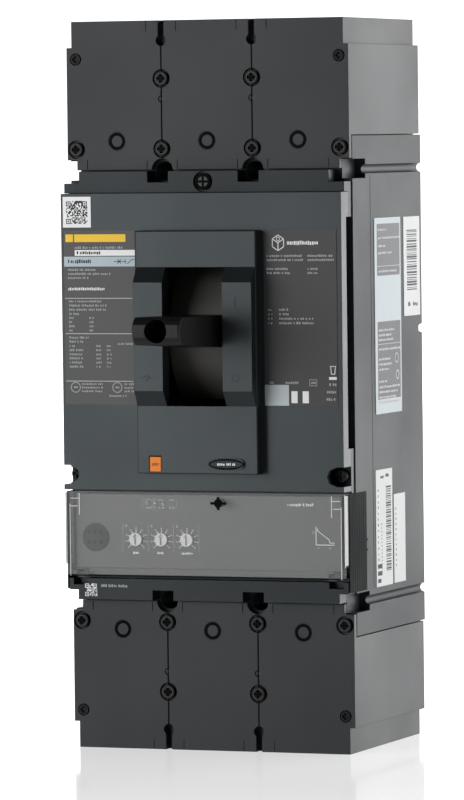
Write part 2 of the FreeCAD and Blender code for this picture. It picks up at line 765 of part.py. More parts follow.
def make_cradle():
    """The latched lever that the trip bar lets go."""
    body = new_body("cradle")
    outline = [("3.6", "-4"), ("3.6", "4"), ("-5", "4"), ("-3.2", "-8"), ("-2.6", "-34"), ("-7", "-37"),
               ("-7", "-42"), ("2", "-42"), ("2", "-8")]
    pad(body, SIDE, ("-2", "2"), (polygon, outline))
    pocket(body, SIDE, ("-3", "3"), (circle, "0", "0", "pin_radius + 0.05"))
    body.Placement = Placement(Vector(0, -size("cradle_depth"), size("cradle_height")), Rotation())


make_cradle()


def make_springs():
    """Two coil springs from the yoke to just in front of the cradle pin, which they swing past."""
    springs = []
    start = Vector(0, -size("pivot_depth") - 27, size("pivot_height") + 9)
    finish = Vector(0, -size("cradle_depth") - 9.5, size("cradle_height") + 2.7)
    along = finish.sub(start)
    wire_radius = 0.6
    coil_radius = 2.4
    turns = 6
    for x in (-7.5, 7.5):
        helix = Part.makeHelix(along.Length / turns, along.Length, coil_radius)
        section = Part.Circle(Vector(coil_radius, 0, 0), Vector(0, 1, 0), wire_radius).toShape()
        coil = Part.Wire(helix.Edges).makePipeShell([Part.Wire([section])], True, True)
        place = Placement(start + Vector(x, 0, 0), Rotation(Vector(0, 0, 1), along))
        coil.Placement = place
        springs.append(coil)
    feature = doc.addObject("Part::Feature", "main_springs")
    feature.Shape = Part.makeCompound(springs)


make_springs()


# Poles: in each one a cassette holds the rotor, its contact arm and the arc plates
def make_cassette(side):
    x = pole_x(side)
    outer = box("cassette_outer", (f"{x} - cassette_half", f"{x} + cassette_half"),
                ("-cassette_front", "-cassette_back"), ("-cassette_end", "cassette_end"))
    wall = "cassette_wall"
    tools = [box("cassette_inner", (f"{x} - cassette_half + {wall}", f"{x} + cassette_half - {wall}"),
                 (f"-cassette_front + {wall}", f"-cassette_back - {wall}"),
                 (f"-cassette_end + {wall}", f"cassette_end - {wall}"))]
    bar = (f"{x} - bar_half - 0.2", f"{x} + bar_half + 0.2")
    tools.append(box("line_slot", bar, ("-bar_back - bar_thickness - 0.2", "-bar_back + 0.2"),
                     ("50", "cassette_end + 1")))
    tools.append(box("load_slot", bar, ("-load_front - 0.2", "-load_back + 0.2"),
                     ("-cassette_end - 1", "-50")))
    tools.append(rod("hub_hole", "x", (f"{x} - cassette_half - 1", f"{x} + cassette_half + 1"),
                     "hub_radius + 0.05", y="-rotor_depth", z="0"))
    if side == "centre":
        tools.append(box("link_slot", ("-7", "7"), ("-cassette_front - 1", "-60"), ("-16", "30")))
    return cut(f"cassette_{side}", outer, *tools)


def make_rotor(side):
    """A drum with two hubs, a slot through it for the arm and a bore for the shaft."""
    x = pole_x(side)
    about = {"y": "-rotor_depth", "z": "0"}
    drum = rod("drum", "x", (f"{x} - rotor_half", f"{x} + rotor_half"), "rotor_radius", **about)
    hub = rod("hub", "x", (f"{x} - cassette_half", f"{x} + cassette_half"), "hub_radius", **about)
    solids = [drum, hub]
    if side == "centre":
        solids.append(box("crank", ("-5", "5"), ("-rotor_depth - crank_radius - 4", "-rotor_depth - 10"),
                          ("-4.2", "4.2")))
    blank = fuse("rotor_blank", *solids)
    bore = rod("shaft_bore", "x", (f"{x} - 30", f"{x} + 30"), "shaft_radius", **about)
    slot = arm_bar("arm_slot", x, "arm_half", "20", "0")
    tools = [bore, slot]
    if side == "centre":
        tools.append(rod("crank_bore", "x", ("-6", "6"), "crank_pin_radius + 0.02",
                         y="-rotor_depth - crank_radius", z="0"))
    return cut(f"drum_{side}", blank, *tools)


def arm_bar(name, x, half, reach, clearance):
    """A bar through the rotor's middle, turned to the open position."""
    bar = box(name, (f"{x} - {half}", f"{x} + {half}"),
              ("-arm_thickness / 2", "arm_thickness / 2"), (f"-{reach}", reach))
    holder = doc.addObject("Part::Compound", name + "_turned")
    holder.Links = [bar]
    turn_open(holder)
    return holder


def turn_open(part):
    """Turn a piece drawn about the rotor's axis in the closed position to the open one."""
    part.Placement = Placement(Vector(0, -size("rotor_depth"), 0),
                               Rotation(Vector(1, 0, 0), size("open_angle")))


def make_arm(side):
    """The moving contact bar with a contact tip at each end, on opposite faces."""
    x = pole_x(side)
    half = "arm_half"
    across = (f"{x} - {half}", f"{x} + {half}")
    bar = box("arm", across, ("-arm_thickness / 2", "arm_thickness / 2"), ("-arm_reach", "arm_reach"))
    bore = rod("arm_bore", "x", (f"{x} - 9", f"{x} + 9"), "shaft_radius", y="0", z="0")
    upper = box("upper_tip", across, ("arm_thickness / 2", "arm_thickness / 2 + tip_thickness"),
                ("arm_reach - 8", "arm_reach"))
    lower = box("lower_tip", across, ("-arm_thickness / 2 - tip_thickness", "-arm_thickness / 2"),
                ("-arm_reach", "-arm_reach + 8"))
    whole = cut(f"arm_{side}", fuse("arm_blank", bar, upper, lower), bore)
    turn_open(whole)
    return whole


def make_terminals():
    """The copper bars: the line bar is straight, the load bar steps back behind the cassette."""
    line = []
    load = []
    for side in POLES:
        x = pole_x(side)
        across = (f"{x} - bar_half", f"{x} + bar_half")
        bar = box("line_bar", across, ("-bar_back - bar_thickness", "-bar_back"), ("20", "bar_end"))
        pad_tip = box("line_pad", (f"{x} - arm_half", f"{x} + arm_half"),
                      ("-32.4", "-30.3"), ("20", "30"))
        hole = front_hole("line_hole", x, "plug_height", "terminal_hole_radius", ("20", "40"))
        relief = box("line_relief", across, ("-40", "-30.4"), ("19", "50"))
        short_bar = cut("line_cut", bar, relief)
        line.append(cut("line_terminal", fuse("line_whole", short_bar, pad_tip), hole))
        inner = box("load_inner", across, ("-load_front", "-load_back"), ("-64", "-20"))
        tip = box("load_tip", (f"{x} - arm_half", f"{x} + arm_half"),
                  ("-load_back - 0.1", "-load_back + 2"), ("-30", "-22"))
        step = box("load_step", across, ("-load_front", "-bar_back"), ("-65", "-60"))
        outer = box("load_bar", across, ("-bar_back - bar_thickness", "-bar_back"), ("-bar_end", "-60"))
        low_hole = front_hole("load_hole", x, "-plug_height", "terminal_hole_radius", ("20", "40"))
        load.append(cut("load_terminal", fuse("load_whole", inner, step, outer, tip), low_hole))
    group("line_terminals", *line)
    group("load_terminals", *load)


def make_arc_plates():
    """Steel plates across the arc, above and below each rotor."""
    upper = []
    lower = []
    for side in POLES:
        x = pole_x(side)
        for number in range(6):
            across = (f"{x} - 15", f"{x} + 15")
            front = f"-62 + 4.6 * {number}"
            upper.append(box("arc_plate", across, (front, f"{front} + 1.2"), ("33.5", "55.5")))
            back = f"-40 + 4.6 * {number}"
            lower.append(box("arc_plate", across, (back, f"{back} + 1.2"), ("-55.5", "-33.5")))
    group("arc_plates", *upper, *lower)


cassettes = {side: make_cassette(side) for side in POLES}
rotors = {side: make_rotor(side) for side in POLES}
cassettes["centre"].Label = "pole_cassette_centre"
rotors["centre"].Label = "rotor_centre"
group("pole_cassettes_outer", cassettes["left"], cassettes["right"])
group("rotors_outer", rotors["left"], rotors["right"])
group("contact_arms", *[make_arm(side) for side in POLES])
make_terminals()
make_arc_plates()
rod("drive_shaft", "x", ("-pole_pitch - cassette_half", "pole_pitch + cassette_half"),
    "shaft_radius", y="-rotor_depth", z="0")


# Drive link: two plates from the rotor's crank to the knee pin
def make_link():
    crank_y = "-rotor_depth - crank_radius"
    outline = [(f"{crank_y} + 3.5", "-3.5"), (f"{crank_y} + 3.5", "3.5"),
               ("-knee_depth + 2", "knee_height + 4"),
               ("-knee_depth - 4", "knee_height + 4"), ("-knee_depth - 4", "knee_height - 3"),
               (f"{crank_y} - 3.5", "-3.5")]
    body = new_body("link_plate")
    pad(body, SIDE, ("-6.4", "6.4"), (polygon, outline))
    tools = [box("link_gap", ("-5.1", "5.1"), ("-100", "-40"), ("-10", "40"))]
    across = ("-8", "8")
    tools.append(rod("link_low_hole", "x", across, "crank_pin_radius + 0.05", y=crank_y, z="0"))
    tools.append(rod("link_high_hole", "x", across, "pin_radius", y="-knee_depth", z="knee_height"))
    cut("drive_link", body, *tools)
    rod("crank_pin", "x", ("-6.4", "6.4"), "crank_pin_radius", y=crank_y, z="0")
    rod("knee_pin", "x", ("-9", "9"), "pin_radius", y="-knee_depth", z="knee_height")


make_link()


# Lugs: stepped aluminium bodies with two conductor bores, one behind the other
def make_lugs(end, lugs, clamps, screws):
    for side in POLES:
        x = pole_x(side)
        across = (f"{x} - lug_half", f"{x} + lug_half")
        seat = "bar_back + bar_thickness"
        back = box("rear_barrel", across, ("-lug_step", f"-({seat})"),
                   mirrored_span(end, "lug_start", "lug_end"))
        front = box("front_barrel", across, ("-lug_front", "-lug_step"),
                    mirrored_span(end, "lug_start", "lug_mid"))
        tongue = box("lug_tongue", across, (f"-({seat}) - 7", f"-({seat})"),
                     mirrored_span(end, "terminal_bay_start + 1", "lug_start"))
        run = mirrored_span(end, "lug_start - 1", "lug_end + 1")
        tools = [rod("conductor_bore", "z", run, "lug_bore_radius", x=x, y=f"-{depth}")
                 for depth in ("lug_bore_front", "lug_bore_back")]
        tools.append(front_hole("tongue_hole", x, f"{end} * plug_height", "terminal_hole_radius + 0.1",
                                ("30", "50")))
        tools.append(front_hole("front_clamp_hole", x, f"{end} * front_clamp_height", "lug_screw_radius",
                                ("lug_bore_front", "lug_front + 1")))
        tools.append(front_hole("rear_clamp_hole", x, f"{end} * rear_clamp_height", "lug_screw_radius",
                                ("lug_bore_back", "lug_step + 1")))
        lugs.append(cut("lug", fuse("lug_blank", back, front, tongue), *tools))
        for height, bore, top in (("front_clamp_height", "lug_bore_front", "lug_front"),
                                  ("rear_clamp_height", "lug_bore_back", "lug_step")):
            body = front_hole("clamp_body", x, f"{end} * {height}", "lug_screw_radius - 0.02",
                              (f"{bore} + lug_bore_radius + 0.2", f"{top} + 2"))
            socket = hex_socket(x, f"{end} * {height}", top)
            clamps.append(cut("clamp_screw", body, socket))
        cap = front_hole("terminal_head", x, f"{end} * plug_height", "6.5", (f"{seat} + 7", f"{seat} + 14"))
        shank = front_hole("terminal_shank", x, f"{end} * plug_height", "terminal_hole_radius - 0.1",
                           ("bar_back - 3", f"{seat} + 8"))
        screws.append(fuse("terminal_screw", cap, shank))


def hex_socket(x, z, top):
    """A six-sided tool that sinks into the front of a clamp screw."""
    prism = doc.addObject("Part::Prism", "hex_socket")
    prism.Polygon = 6
    prism.Circumradius = 4.6
    prism.Height = 6
    prism.Placement = Placement(Vector(), TURN_TO_Y)
    prism.setExpression("Placement.Base.x", bound(x))
    prism.setExpression("Placement.Base.z", bound(z))
    prism.setExpression("Placement.Base.y", bound(f"-({top}) - 5"))
    return prism


lug_bodies, clamp_screws, terminal_bolts = [], [], []
for end in ENDS.values():
    make_lugs(end, lug_bodies, clamp_screws, terminal_bolts)
group("lugs", *lug_bodies)
group("lug_screws", *clamp_screws)
group("terminal_screws", *terminal_bolts)


# Trip unit: an electronic block below the handle, under a clear flap
def make_trip_unit():
    half = ("-housing_half", "housing_half")
    tall = ("trip_bottom + 0.5", "trip_top - 0.5")
    outer = box("trip_outer", half, ("-trip_face + 2", "-housing_back"), tall)
    inner = box("trip_inner", ("-housing_half + 2", "housing_half - 2"),
                ("-trip_face + 4", "-housing_back + 1"),
                ("trip_bottom + 2.5", "trip_top - 2.5"))
    tools = [inner]
    tools.append(rod("plunger_hole", "z", ("trip_top - 5", "trip_top + 1"), "plunger_radius + 0.05",
                     x="plunger_x", y="-plunger_depth"))
    for number in range(3):
        tools.append(front_hole("dial_hole", f"dial_first + dial_pitch * {number}", "dial_height",
                                "1.55", ("90", "trip_face")))
    cut("trip_unit_housing", outer, *tools)
    panel = new_body("trip_panel")
    pad(panel, FRONT, ("trip_face - 2 + 0.02", "trip_face"),
        (rectangle, ("-trip_half", "trip_half"), ("trip_bottom + 4", "trip_top - 0.6")))
    holes = [front_hole("dial_seat", f"dial_first + dial_pitch * {number}", "dial_height",
                        "dial_radius + 0.05", ("90", "trip_face + 1")) for number in range(3)]
    holes.append(front_hole("port_seat", "port_x", "port_height", "port_radius",
                            ("trip_face - 1", "trip_face + 1")))
    holes.append(front_hole("seal_seat", "seal_x", "seal_height", "seal_radius",
                            ("trip_face - 1", "trip_face + 1")))
    for number in range(3):
        holes.append(front_hole("light_seat", f"light_x + light_pitch * {number}", "light_height",
                                "light_radius",
                                ("trip_face - 1", "trip_face + 1")))
    cut("trip_unit_front", panel, *holes)
    port = front_hole("port_disc", "port_x", "port_height", "port_radius - 0.05",
                      ("trip_face - 1", "trip_face + 0.6"))
    sockets = [front_hole("port_socket", f"port_x + {dx}", f"port_height + {dz}", "0.9",
                          ("trip_face - 0.4", "trip_face + 2"))
               for dx in (-3, 0, 3) for dz in (-2.4, 2.4)]
    cut("test_port", port, *sockets)
    lights = [front_hole("light", f"light_x + light_pitch * {number}", "light_height",
                         "light_radius - 0.05",
                         ("trip_face - 1", "trip_face + 0.3")) for number in range(3)]
    group("indicator_lights", *lights)
    front_hole("seal_screw", "seal_x", "seal_height", "seal_radius - 0.05",
               ("trip_face - 1", "trip_face + 0.4"))
    box("circuit_board", ("-housing_half + 4", "housing_half - 4"), ("-96.6", "-95"),
        ("trip_bottom + 4", "trip_top - 4"))
    box("trip_solenoid", ("plunger_x - 6", "plunger_x + 6"), ("-94.5", "-80"), ("-80", "-58"))
    rod("trip_plunger", "z", ("trip_top - 7.9", "trip_top + 1.6"), "plunger_radius",
        x="plunger_x", y="-plunger_depth")


def make_dial(number, name):
    """A setting dial with a screwdriver slot and a stem into the housing."""
    x = f"dial_first + dial_pitch * {number}"
    cap = front_hole("dial_cap", x, "dial_height", "dial_radius", ("trip_face - 1.9", "trip_face + 1.2"))
    stem = front_hole("dial_stem", x, "dial_height", "1.5", ("trip_face - 5", "trip_face - 1.8"))
    slot = box("dial_slot", (f"{x} - 0.45", f"{x} + 0.45"), ("-trip_face - 2", "-trip_face - 0.3"),
               ("dial_height - 2.4", "dial_height + 2.4"))
    arrow = box("dial_arrow", (f"{x} - 1.2", f"{x} + 1.2"), ("-trip_face - 2", "-trip_face - 0.3"),
                ("dial_height + 1", "dial_height + 1.5"))
    cut(name, fuse("dial_blank", cap, stem), slot, arrow)


def make_flap():
    """The clear flap, hinged on two pins at its lower corners, with a lip along each side."""
    face = ("-label_depth", "-label_depth + flap_wall")
    plate = box("flap_plate", ("-flap_half", "flap_half"), face,
                ("flap_hinge_height - 0.6", "trip_top + 1"))
    parts = [plate]
    for x in (1, -1):
        side = mirrored_span(x, "flap_half - 2", "flap_half")
        parts.append(box("flap_side", side, ("-label_depth", "-trip_face + 0.6"), ("-83", "trip_top + 1")))
        knuckle = mirrored_span(x, "knuckle_start", "knuckle_end")
        parts.append(rod("flap_knuckle", "x", knuckle, "knuckle_radius", y="-flap_hinge_depth",
                         z="flap_hinge_height"))
        parts.append(box("flap_web", knuckle, face, ("flap_hinge_height - 0.6", "flap_hinge_height + 2")))
        parts.append(box("flap_stem", knuckle, ("-label_depth + 0.5", "-flap_hinge_depth"),
                         ("flap_hinge_height - 0.6", "flap_hinge_height + 1.5")))
    blank = fuse("flap_blank", *parts)
    bores = rod("flap_bore", "x", ("-knuckle_end - 1", "knuckle_end + 1"), "flap_pin_radius + 0.05",
                y="-flap_hinge_depth", z="flap_hinge_height")
    cut("trip_unit_cover", blank, bores)
    pins = []
    brackets = []
    for x in (1, -1):
        pins.append(rod("flap_pin", "x", mirrored_span(x, "knuckle_start", "ear_end"), "flap_pin_radius",
                        y="-flap_hinge_depth", z="flap_hinge_height"))
        ear = box("pin_ear", mirrored_span(x, "knuckle_end + 0.2", "ear_end"),
                  ("-flap_hinge_depth - 1.3", "-deck_depth + gap"),
                  ("flap_hinge_height - 1.3", "flap_hinge_height + 1.3"))
        bore = rod("ear_bore", "x", mirrored_span(x, "knuckle_end", "ear_end + 1"), "flap_pin_radius",
                   y="-flap_hinge_depth", z="flap_hinge_height")
        brackets.append(cut("hinge_ear", ear, bore))
    group("flap_pins", *pins)
    group("flap_brackets", *brackets)


def make_sensors():
    """A current sensor ring around each load bar."""
    rings = []
    for side in POLES:
        x = pole_x(side)
        ring = box("sensor_block", (f"{x} - 17", f"{x} + 17"), ("-46", "-15"), ("-84", "-67"))
        window = box("sensor_window", (f"{x} - bar_half - 0.3", f"{x} + bar_half + 0.3"),
                     ("-bar_back - bar_thickness - 0.3", "-bar_back + 0.3"), ("-85", "-66"))
        rings.append(cut("sensor_ring", ring, window))
    group("current_sensors", *rings)


def make_trip_linkage():
    """The push button and the trip bar that it turns."""
    stem_end = "trip_bar_depth + 1.8"
    cap = box("button_cap", ("button_x - 2.7", "button_x + 2.7"),
              ("-raised_depth - 0.3", "-label_depth + 2"),
              ("button_height - 3.4", "button_height + 3.4"))
    stem = front_hole("button_stem", "button_x", "button_height", "1.5", (stem_end, "label_depth"))
    slot = box("button_slot", ("button_x - 1.6", "button_x + 1.6"),
               ("-raised_depth - 1", "-raised_depth + 0.4"),
               ("button_height - 0.4", "button_height + 0.4"))
    cut("trip_button", fuse("button_blank", cap, stem), slot)
    shaft = rod("trip_shaft", "x", ("-26", "18"), "2.5", y="-trip_bar_depth", z="trip_bar_height")
    paddle = box("trip_paddle", ("button_x - 3", "button_x + 3"),
                 ("-trip_bar_depth - 1.5", "-trip_bar_depth + 0.5"),
                 ("trip_bar_height", "button_height + 2"))
    lever = box("trip_lever", ("7", "13"), ("-trip_bar_depth - 6.5", "-trip_bar_depth"),
                ("trip_bar_height - 0.9", "trip_bar_height + 0.9"))
    catch = box("trip_catch", ("-3", "3"), ("-trip_bar_depth - 1", "-trip_bar_depth + 1"),
                ("trip_bar_height", "trip_bar_height + 17"))
    fuse("trip_bar", shaft, paddle, lever, catch)
    blocks = []
    for x in (("-29", "-25"), ("15", "19")):
        block = box("bearing", x, ("-trip_bar_depth - 4.5", "-75.1"),
                    ("trip_bar_height - 3.5", "trip_bar_height + 4"))
        bore = rod("bearing_bore", "x", (f"{x[0]} - 1", f"{x[1]} + 1"), "2.55",
                   y="-trip_bar_depth", z="trip_bar_height")
        blocks.append(cut("bearing_block", block, bore))
    group("trip_bar_bearings", *blocks)


def make_plates_on_front():
    """Thin printed plates, the oval badge and the labels on the right side."""
    front = ("-label_depth - film_thickness", "-label_depth")
    box("left_nameplate", ("-68", "-32.4"), front, ("-8.4", "72.7"))
    box("right_nameplate", ("31.4", "67.1"), front, ("-8.6", "72.8"))
    box("code_sticker", ("-68.4", "-54.3"), front, ("74.1", "88.4"))
    skin = ("case_width / 2", "case_width / 2 + label_thickness")
    labels = [(("-67", "-30.5"), ("-14.5", "77")), (("-26", "-3"), ("30", "76.9")),
              (("-68.4", "-45.5"), ("-95", "-40.4")), (("-43.6", "-27.5"), ("-94.8", "-53"))]
    group("side_labels", *[box("side_label", skin, deep, tall) for deep, tall in labels])
    long_half = size("badge_half")
    short_half = size("badge_radius")
    badge = new_body("rating_plug")
    sketch = sketch_on(badge, FRONT, "raised_depth")
    middle = Vector(size("badge_x"), size("badge_height"), 0)
    straight = long_half - short_half
    axis = Vector(0, 0, 1)
    right = Part.Circle(middle + Vector(straight, 0, 0), axis, short_half)
    left = Part.Circle(middle - Vector(straight, 0, 0), axis, short_half)
    quarter = math.pi / 2
    up = Vector(0, short_half, 0)
    ends = [middle + Vector(straight, 0, 0), middle - Vector(straight, 0, 0)]
    sketch.addGeometry([Part.ArcOfCircle(right, -quarter, quarter),
                        Part.LineSegment(ends[0] + up, ends[1] + up),
                        Part.ArcOfCircle(left, quarter, 3 * quarter),
                        Part.LineSegment(ends[1] - up, ends[0] - up)], False)
    feature = badge.newObject("PartDesign::Pad", "rating_plug_pad")
    feature.Profile = sketch
    feature.setExpression("Length", bound("badge_thickness"))
    badge.Tip = feature


make_trip_unit()
for number, name in enumerate(("pickup_dial", "delay_dial", "instant_dial")):
    make_dial(number, name)
make_flap()
make_sensors()
make_trip_linkage()
make_plates_on_front()

SUB_PARTS = [f"{end}_terminal_cover_{side}" for end in ENDS for side in POLES]
SUB_PARTS += [
    "base_case", "main_cover", "accessory_cover",
    "terminal_cover_screws", "terminal_corner_caps", "main_cover_screw", "accessory_cover_screws",
    "terminal_plugs", "swing_handle", "handle_shroud", "handle_yoke",
    "mechanism_side_plates", "handle_pivot_pins", "cradle_pin", "cradle", "main_springs",
    "pole_cassette_centre", "pole_cassettes_outer", "rotor_centre", "rotors_outer", "contact_arms",
    "line_terminals", "load_terminals", "arc_plates", "drive_shaft",
    "drive_link", "crank_pin", "knee_pin", "lugs", "lug_screws", "terminal_screws",
    "trip_unit_housing", "trip_unit_front", "test_port", "indicator_lights", "seal_screw",
    "circuit_board", "trip_solenoid", "trip_plunger",
    "pickup_dial", "delay_dial", "instant_dial",
    "trip_unit_cover", "flap_pins", "flap_brackets", "current_sensors",
    "trip_button", "trip_bar", "trip_bar_bearings",
    "left_nameplate", "right_nameplate", "code_sticker", "side_labels", "rating_plug",
]


# Every sub-part is checked before any file is written
def write_parts():
    doc.recompute()
    broken = [item.Label for item in doc.Objects if {"Invalid", "Error"} & set(item.State)]
    parts = [item for item in doc.Objects if item.Label in SUB_PARTS]
    broken += [item.Label for item in parts if item.Shape.isNull() or not item.Shape.isValid()]
    broken += sorted(set(SUB_PARTS) - {item.Label for item in parts})
    if broken:
        raise SystemExit("these pieces failed: " + ", ".join(sorted(set(broken))))
    os.makedirs("parts", exist_ok=True)
    for item in parts:
        item.Shape.exportStep(f"parts/{item.Label}.step")


write_parts()
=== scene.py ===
import math
import random

import bmesh
import bpy
from mathutils import Matrix, Vector

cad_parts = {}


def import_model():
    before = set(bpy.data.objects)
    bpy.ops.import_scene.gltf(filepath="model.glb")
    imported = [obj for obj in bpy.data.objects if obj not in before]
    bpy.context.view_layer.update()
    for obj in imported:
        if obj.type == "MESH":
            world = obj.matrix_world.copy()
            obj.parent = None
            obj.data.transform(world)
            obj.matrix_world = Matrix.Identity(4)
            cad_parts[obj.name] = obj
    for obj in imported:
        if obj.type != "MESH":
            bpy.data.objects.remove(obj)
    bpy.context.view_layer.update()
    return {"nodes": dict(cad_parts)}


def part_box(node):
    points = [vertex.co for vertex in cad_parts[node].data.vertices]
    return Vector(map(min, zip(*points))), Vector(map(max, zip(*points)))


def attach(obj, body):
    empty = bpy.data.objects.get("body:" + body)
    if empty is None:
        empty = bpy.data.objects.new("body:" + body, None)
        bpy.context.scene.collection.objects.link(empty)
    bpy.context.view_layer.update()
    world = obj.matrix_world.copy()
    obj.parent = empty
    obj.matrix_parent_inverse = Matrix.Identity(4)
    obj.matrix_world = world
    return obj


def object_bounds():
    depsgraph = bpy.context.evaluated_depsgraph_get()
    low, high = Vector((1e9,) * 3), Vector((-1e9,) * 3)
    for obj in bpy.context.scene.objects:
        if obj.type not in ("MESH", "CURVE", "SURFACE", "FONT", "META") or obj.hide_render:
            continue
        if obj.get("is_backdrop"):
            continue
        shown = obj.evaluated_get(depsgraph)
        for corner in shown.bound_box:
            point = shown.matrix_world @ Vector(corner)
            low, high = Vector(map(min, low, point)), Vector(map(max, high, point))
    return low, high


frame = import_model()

MM = 0.001
draw = random.Random(7)

# Places on the breaker, in millimetres
POLE_PITCH = 45.0
RAISED_FACE = 116.4
RIM_FACE = 105.0
SEAM_SCREWS = (110.3, 143.0)
CORNER_SCREW = (65.5, 110.3)
PLUG_HEIGHT = 114.0
SEAM_BUMP = 133.5

# Directions of the front face
RIGHT = (1, 0, 0)
UP = (0, 0, 1)

# Studio levels: the floor glows more dimly near the object, a painted soft shade around it, and turns plain
# white further out
FLOOR_ROUGH = 0.09
SHADED_FLOOR_GLOW = 0.55
WALL_GLOW = 1.1
FADE_START = 0.3
FADE_END = 1.3
WORLD_FILL = 0.08


# ---------- materials ----------

def node_material(name):
    """A new node material, with its shader and the object's own coordinates in metres."""
    material = bpy.data.materials.new(name)
    material.use_nodes = True
    nodes = material.node_tree.nodes
    shader = nodes["Principled BSDF"]
    coords = nodes.new("ShaderNodeTexCoord")
    return material, nodes, material.node_tree.links, shader, coords


def noise(nodes, links, coords, scale, detail=3.0):
    """A noise texture over the object, with its scale in features per metre."""
    texture = nodes.new("ShaderNodeTexNoise")
    texture.inputs["Scale"].default_value = scale
    texture.inputs["Detail"].default_value = detail
    links.new(coords.outputs["Object"], texture.inputs["Vector"])
    return texture.outputs["Fac"]


def spread(nodes, links, factor, low, high):
    """Map a factor around its middle to the range low to high."""
    span = nodes.new("ShaderNodeMapRange")
    span.inputs["From Min"].default_value = 0.3
    span.inputs["From Max"].default_value = 0.7
    span.inputs["To Min"].default_value = low
    span.inputs["To Max"].default_value = high
    links.new(factor, span.inputs["Value"])
    return span.outputs["Result"]


def mixed_colour(nodes, links, factor, first, second):
    """A colour that runs from first to second with the factor."""
    ramp = nodes.new("ShaderNodeValToRGB")
    ramp.color_ramp.elements[0].position = 0.3
    ramp.color_ramp.elements[1].position = 0.7
    ramp.color_ramp.elements[0].color = (*first, 1.0)
    ramp.color_ramp.elements[1].color = (*second, 1.0)
    links.new(factor, ramp.inputs["Fac"])
    return ramp.outputs["Color"]


def bumped(nodes, links, shader, height, distance, strength=0.4, edge=0.00035):
    """Grain from a height, over edges that look slightly rounded."""
    bevel = nodes.new("ShaderNodeBevel")
    bevel.samples = 4
    bevel.inputs["Radius"].default_value = edge
    bump = nodes.new("ShaderNodeBump")
    bump.inputs["Strength"].default_value = strength
    bump.inputs["Distance"].default_value = distance
    links.new(height, bump.inputs["Height"])
    links.new(bevel.outputs["Normal"], bump.inputs["Normal"])
    links.new(bump.outputs["Normal"], shader.inputs["Normal"])


def moulded(name, colour, rough=0.45, grain=0.00004, vary=0.08, edge=0.00035, specular=0.5,
            tint=(1.0, 1.0, 1.0)):
    """Moulded plastic: fine eroded grain, slow colour drift and uneven sheen."""
    material, nodes, links, shader, coords = node_material(name)
    slow = noise(nodes, links, coords, 18.0, 4.0)
    fine = noise(nodes, links, coords, 2600.0, 2.0)
    dark = [part * (1 - vary) for part in colour]
    light = [min(1.0, part * (1 + vary)) for part in colour]
    links.new(mixed_colour(nodes, links, slow, dark, light), shader.inputs["Base Color"])
    links.new(spread(nodes, links, slow, rough - 0.04, rough + 0.05), shader.inputs["Roughness"])
    shader.inputs["Specular IOR Level"].default_value = specular
    shader.inputs["Specular Tint"].default_value = (*tint, 1.0)
    bumped(nodes, links, shader, fine, grain, edge=edge)
    return material


def metal(name, colour, rough=0.3, streak=(900.0, 60.0, 900.0)):
    """Metal with drawn or turned streaks."""
    material, nodes, links, shader, coords = node_material(name)
    stretch = nodes.new("ShaderNodeMapping")
    stretch.inputs["Scale"].default_value = streak
    links.new(coords.outputs["Object"], stretch.inputs["Vector"])
    texture = nodes.new("ShaderNodeTexNoise")
    texture.inputs["Scale"].default_value = 3.0
    links.new(stretch.outputs["Vector"], texture.inputs["Vector"])
    factor = texture.outputs["Fac"]
    dark = [part * 0.8 for part in colour]
    links.new(mixed_colour(nodes, links, factor, dark, colour), shader.inputs["Base Color"])
    links.new(spread(nodes, links, factor, rough - 0.08, rough + 0.12), shader.inputs["Roughness"])
    shader.inputs["Metallic"].default_value = 1.0
    bumped(nodes, links, shader, factor, 0.00003, edge=0.0002)
    return material


def clear_sheet(name):
    """Clear plastic: it lets most light through and reflects a little, with a faint waviness."""
    material, nodes, links, shader, coords = node_material(name)
    slow = noise(nodes, links, coords, 30.0)
    links.new(mixed_colour(nodes, links, slow, (0.60, 0.62, 0.63), (0.66, 0.67, 0.68)),
              shader.inputs["Base Color"])
    links.new(spread(nodes, links, slow, 0.18, 0.24), shader.inputs["Roughness"])
    shader.inputs["Alpha"].default_value = 0.08
    return material


def studio_white(name):
    """A glossy white surface that glows by itself, more dimly near the object as a painted soft shade, and
    hardly lights the object.
    """
    material, nodes, links, shader, coords = node_material(name)
    slow = noise(nodes, links, coords, 2.0)
    links.new(mixed_colour(nodes, links, slow, (0.78, 0.78, 0.79), (0.82, 0.82, 0.83)),
              shader.inputs["Base Color"])
    shader.inputs["Roughness"].default_value = FLOOR_ROUGH
    reach = nodes.new("ShaderNodeVectorMath")
    reach.operation = "LENGTH"
    links.new(coords.outputs["Object"], reach.inputs[0])
    # painted soft shade: the glow is lowest near the object and rises to plain white further out
    level = nodes.new("ShaderNodeMapRange")
    level.inputs["From Min"].default_value = FADE_START
    level.inputs["From Max"].default_value = FADE_END
    level.inputs["To Min"].default_value = SHADED_FLOOR_GLOW
    level.inputs["To Max"].default_value = WALL_GLOW
    links.new(reach.outputs["Value"], level.inputs["Value"])
    rays = nodes.new("ShaderNodeLightPath")
    dimmed = nodes.new("ShaderNodeMapRange")
    dimmed.inputs["To Min"].default_value = 1.0
    dimmed.inputs["To Max"].default_value = 0.1
    links.new(rays.outputs["Is Diffuse Ray"], dimmed.inputs["Value"])
    glow = nodes.new("ShaderNodeMath")
    glow.operation = "MULTIPLY"
    links.new(level.outputs["Result"], glow.inputs[0])
    links.new(dimmed.outputs["Result"], glow.inputs[1])
    shader.inputs["Emission Color"].default_value = (1.0, 1.0, 1.0, 1.0)
    links.new(glow.outputs["Value"], shader.inputs["Emission Strength"])
    return material


def paper(name, colour, rough=0.55):
    """Printed film or paper with a soft mottle."""
    return moulded(name, colour, rough, grain=0.00002, vary=0.04, edge=0.0001, specular=0.25)


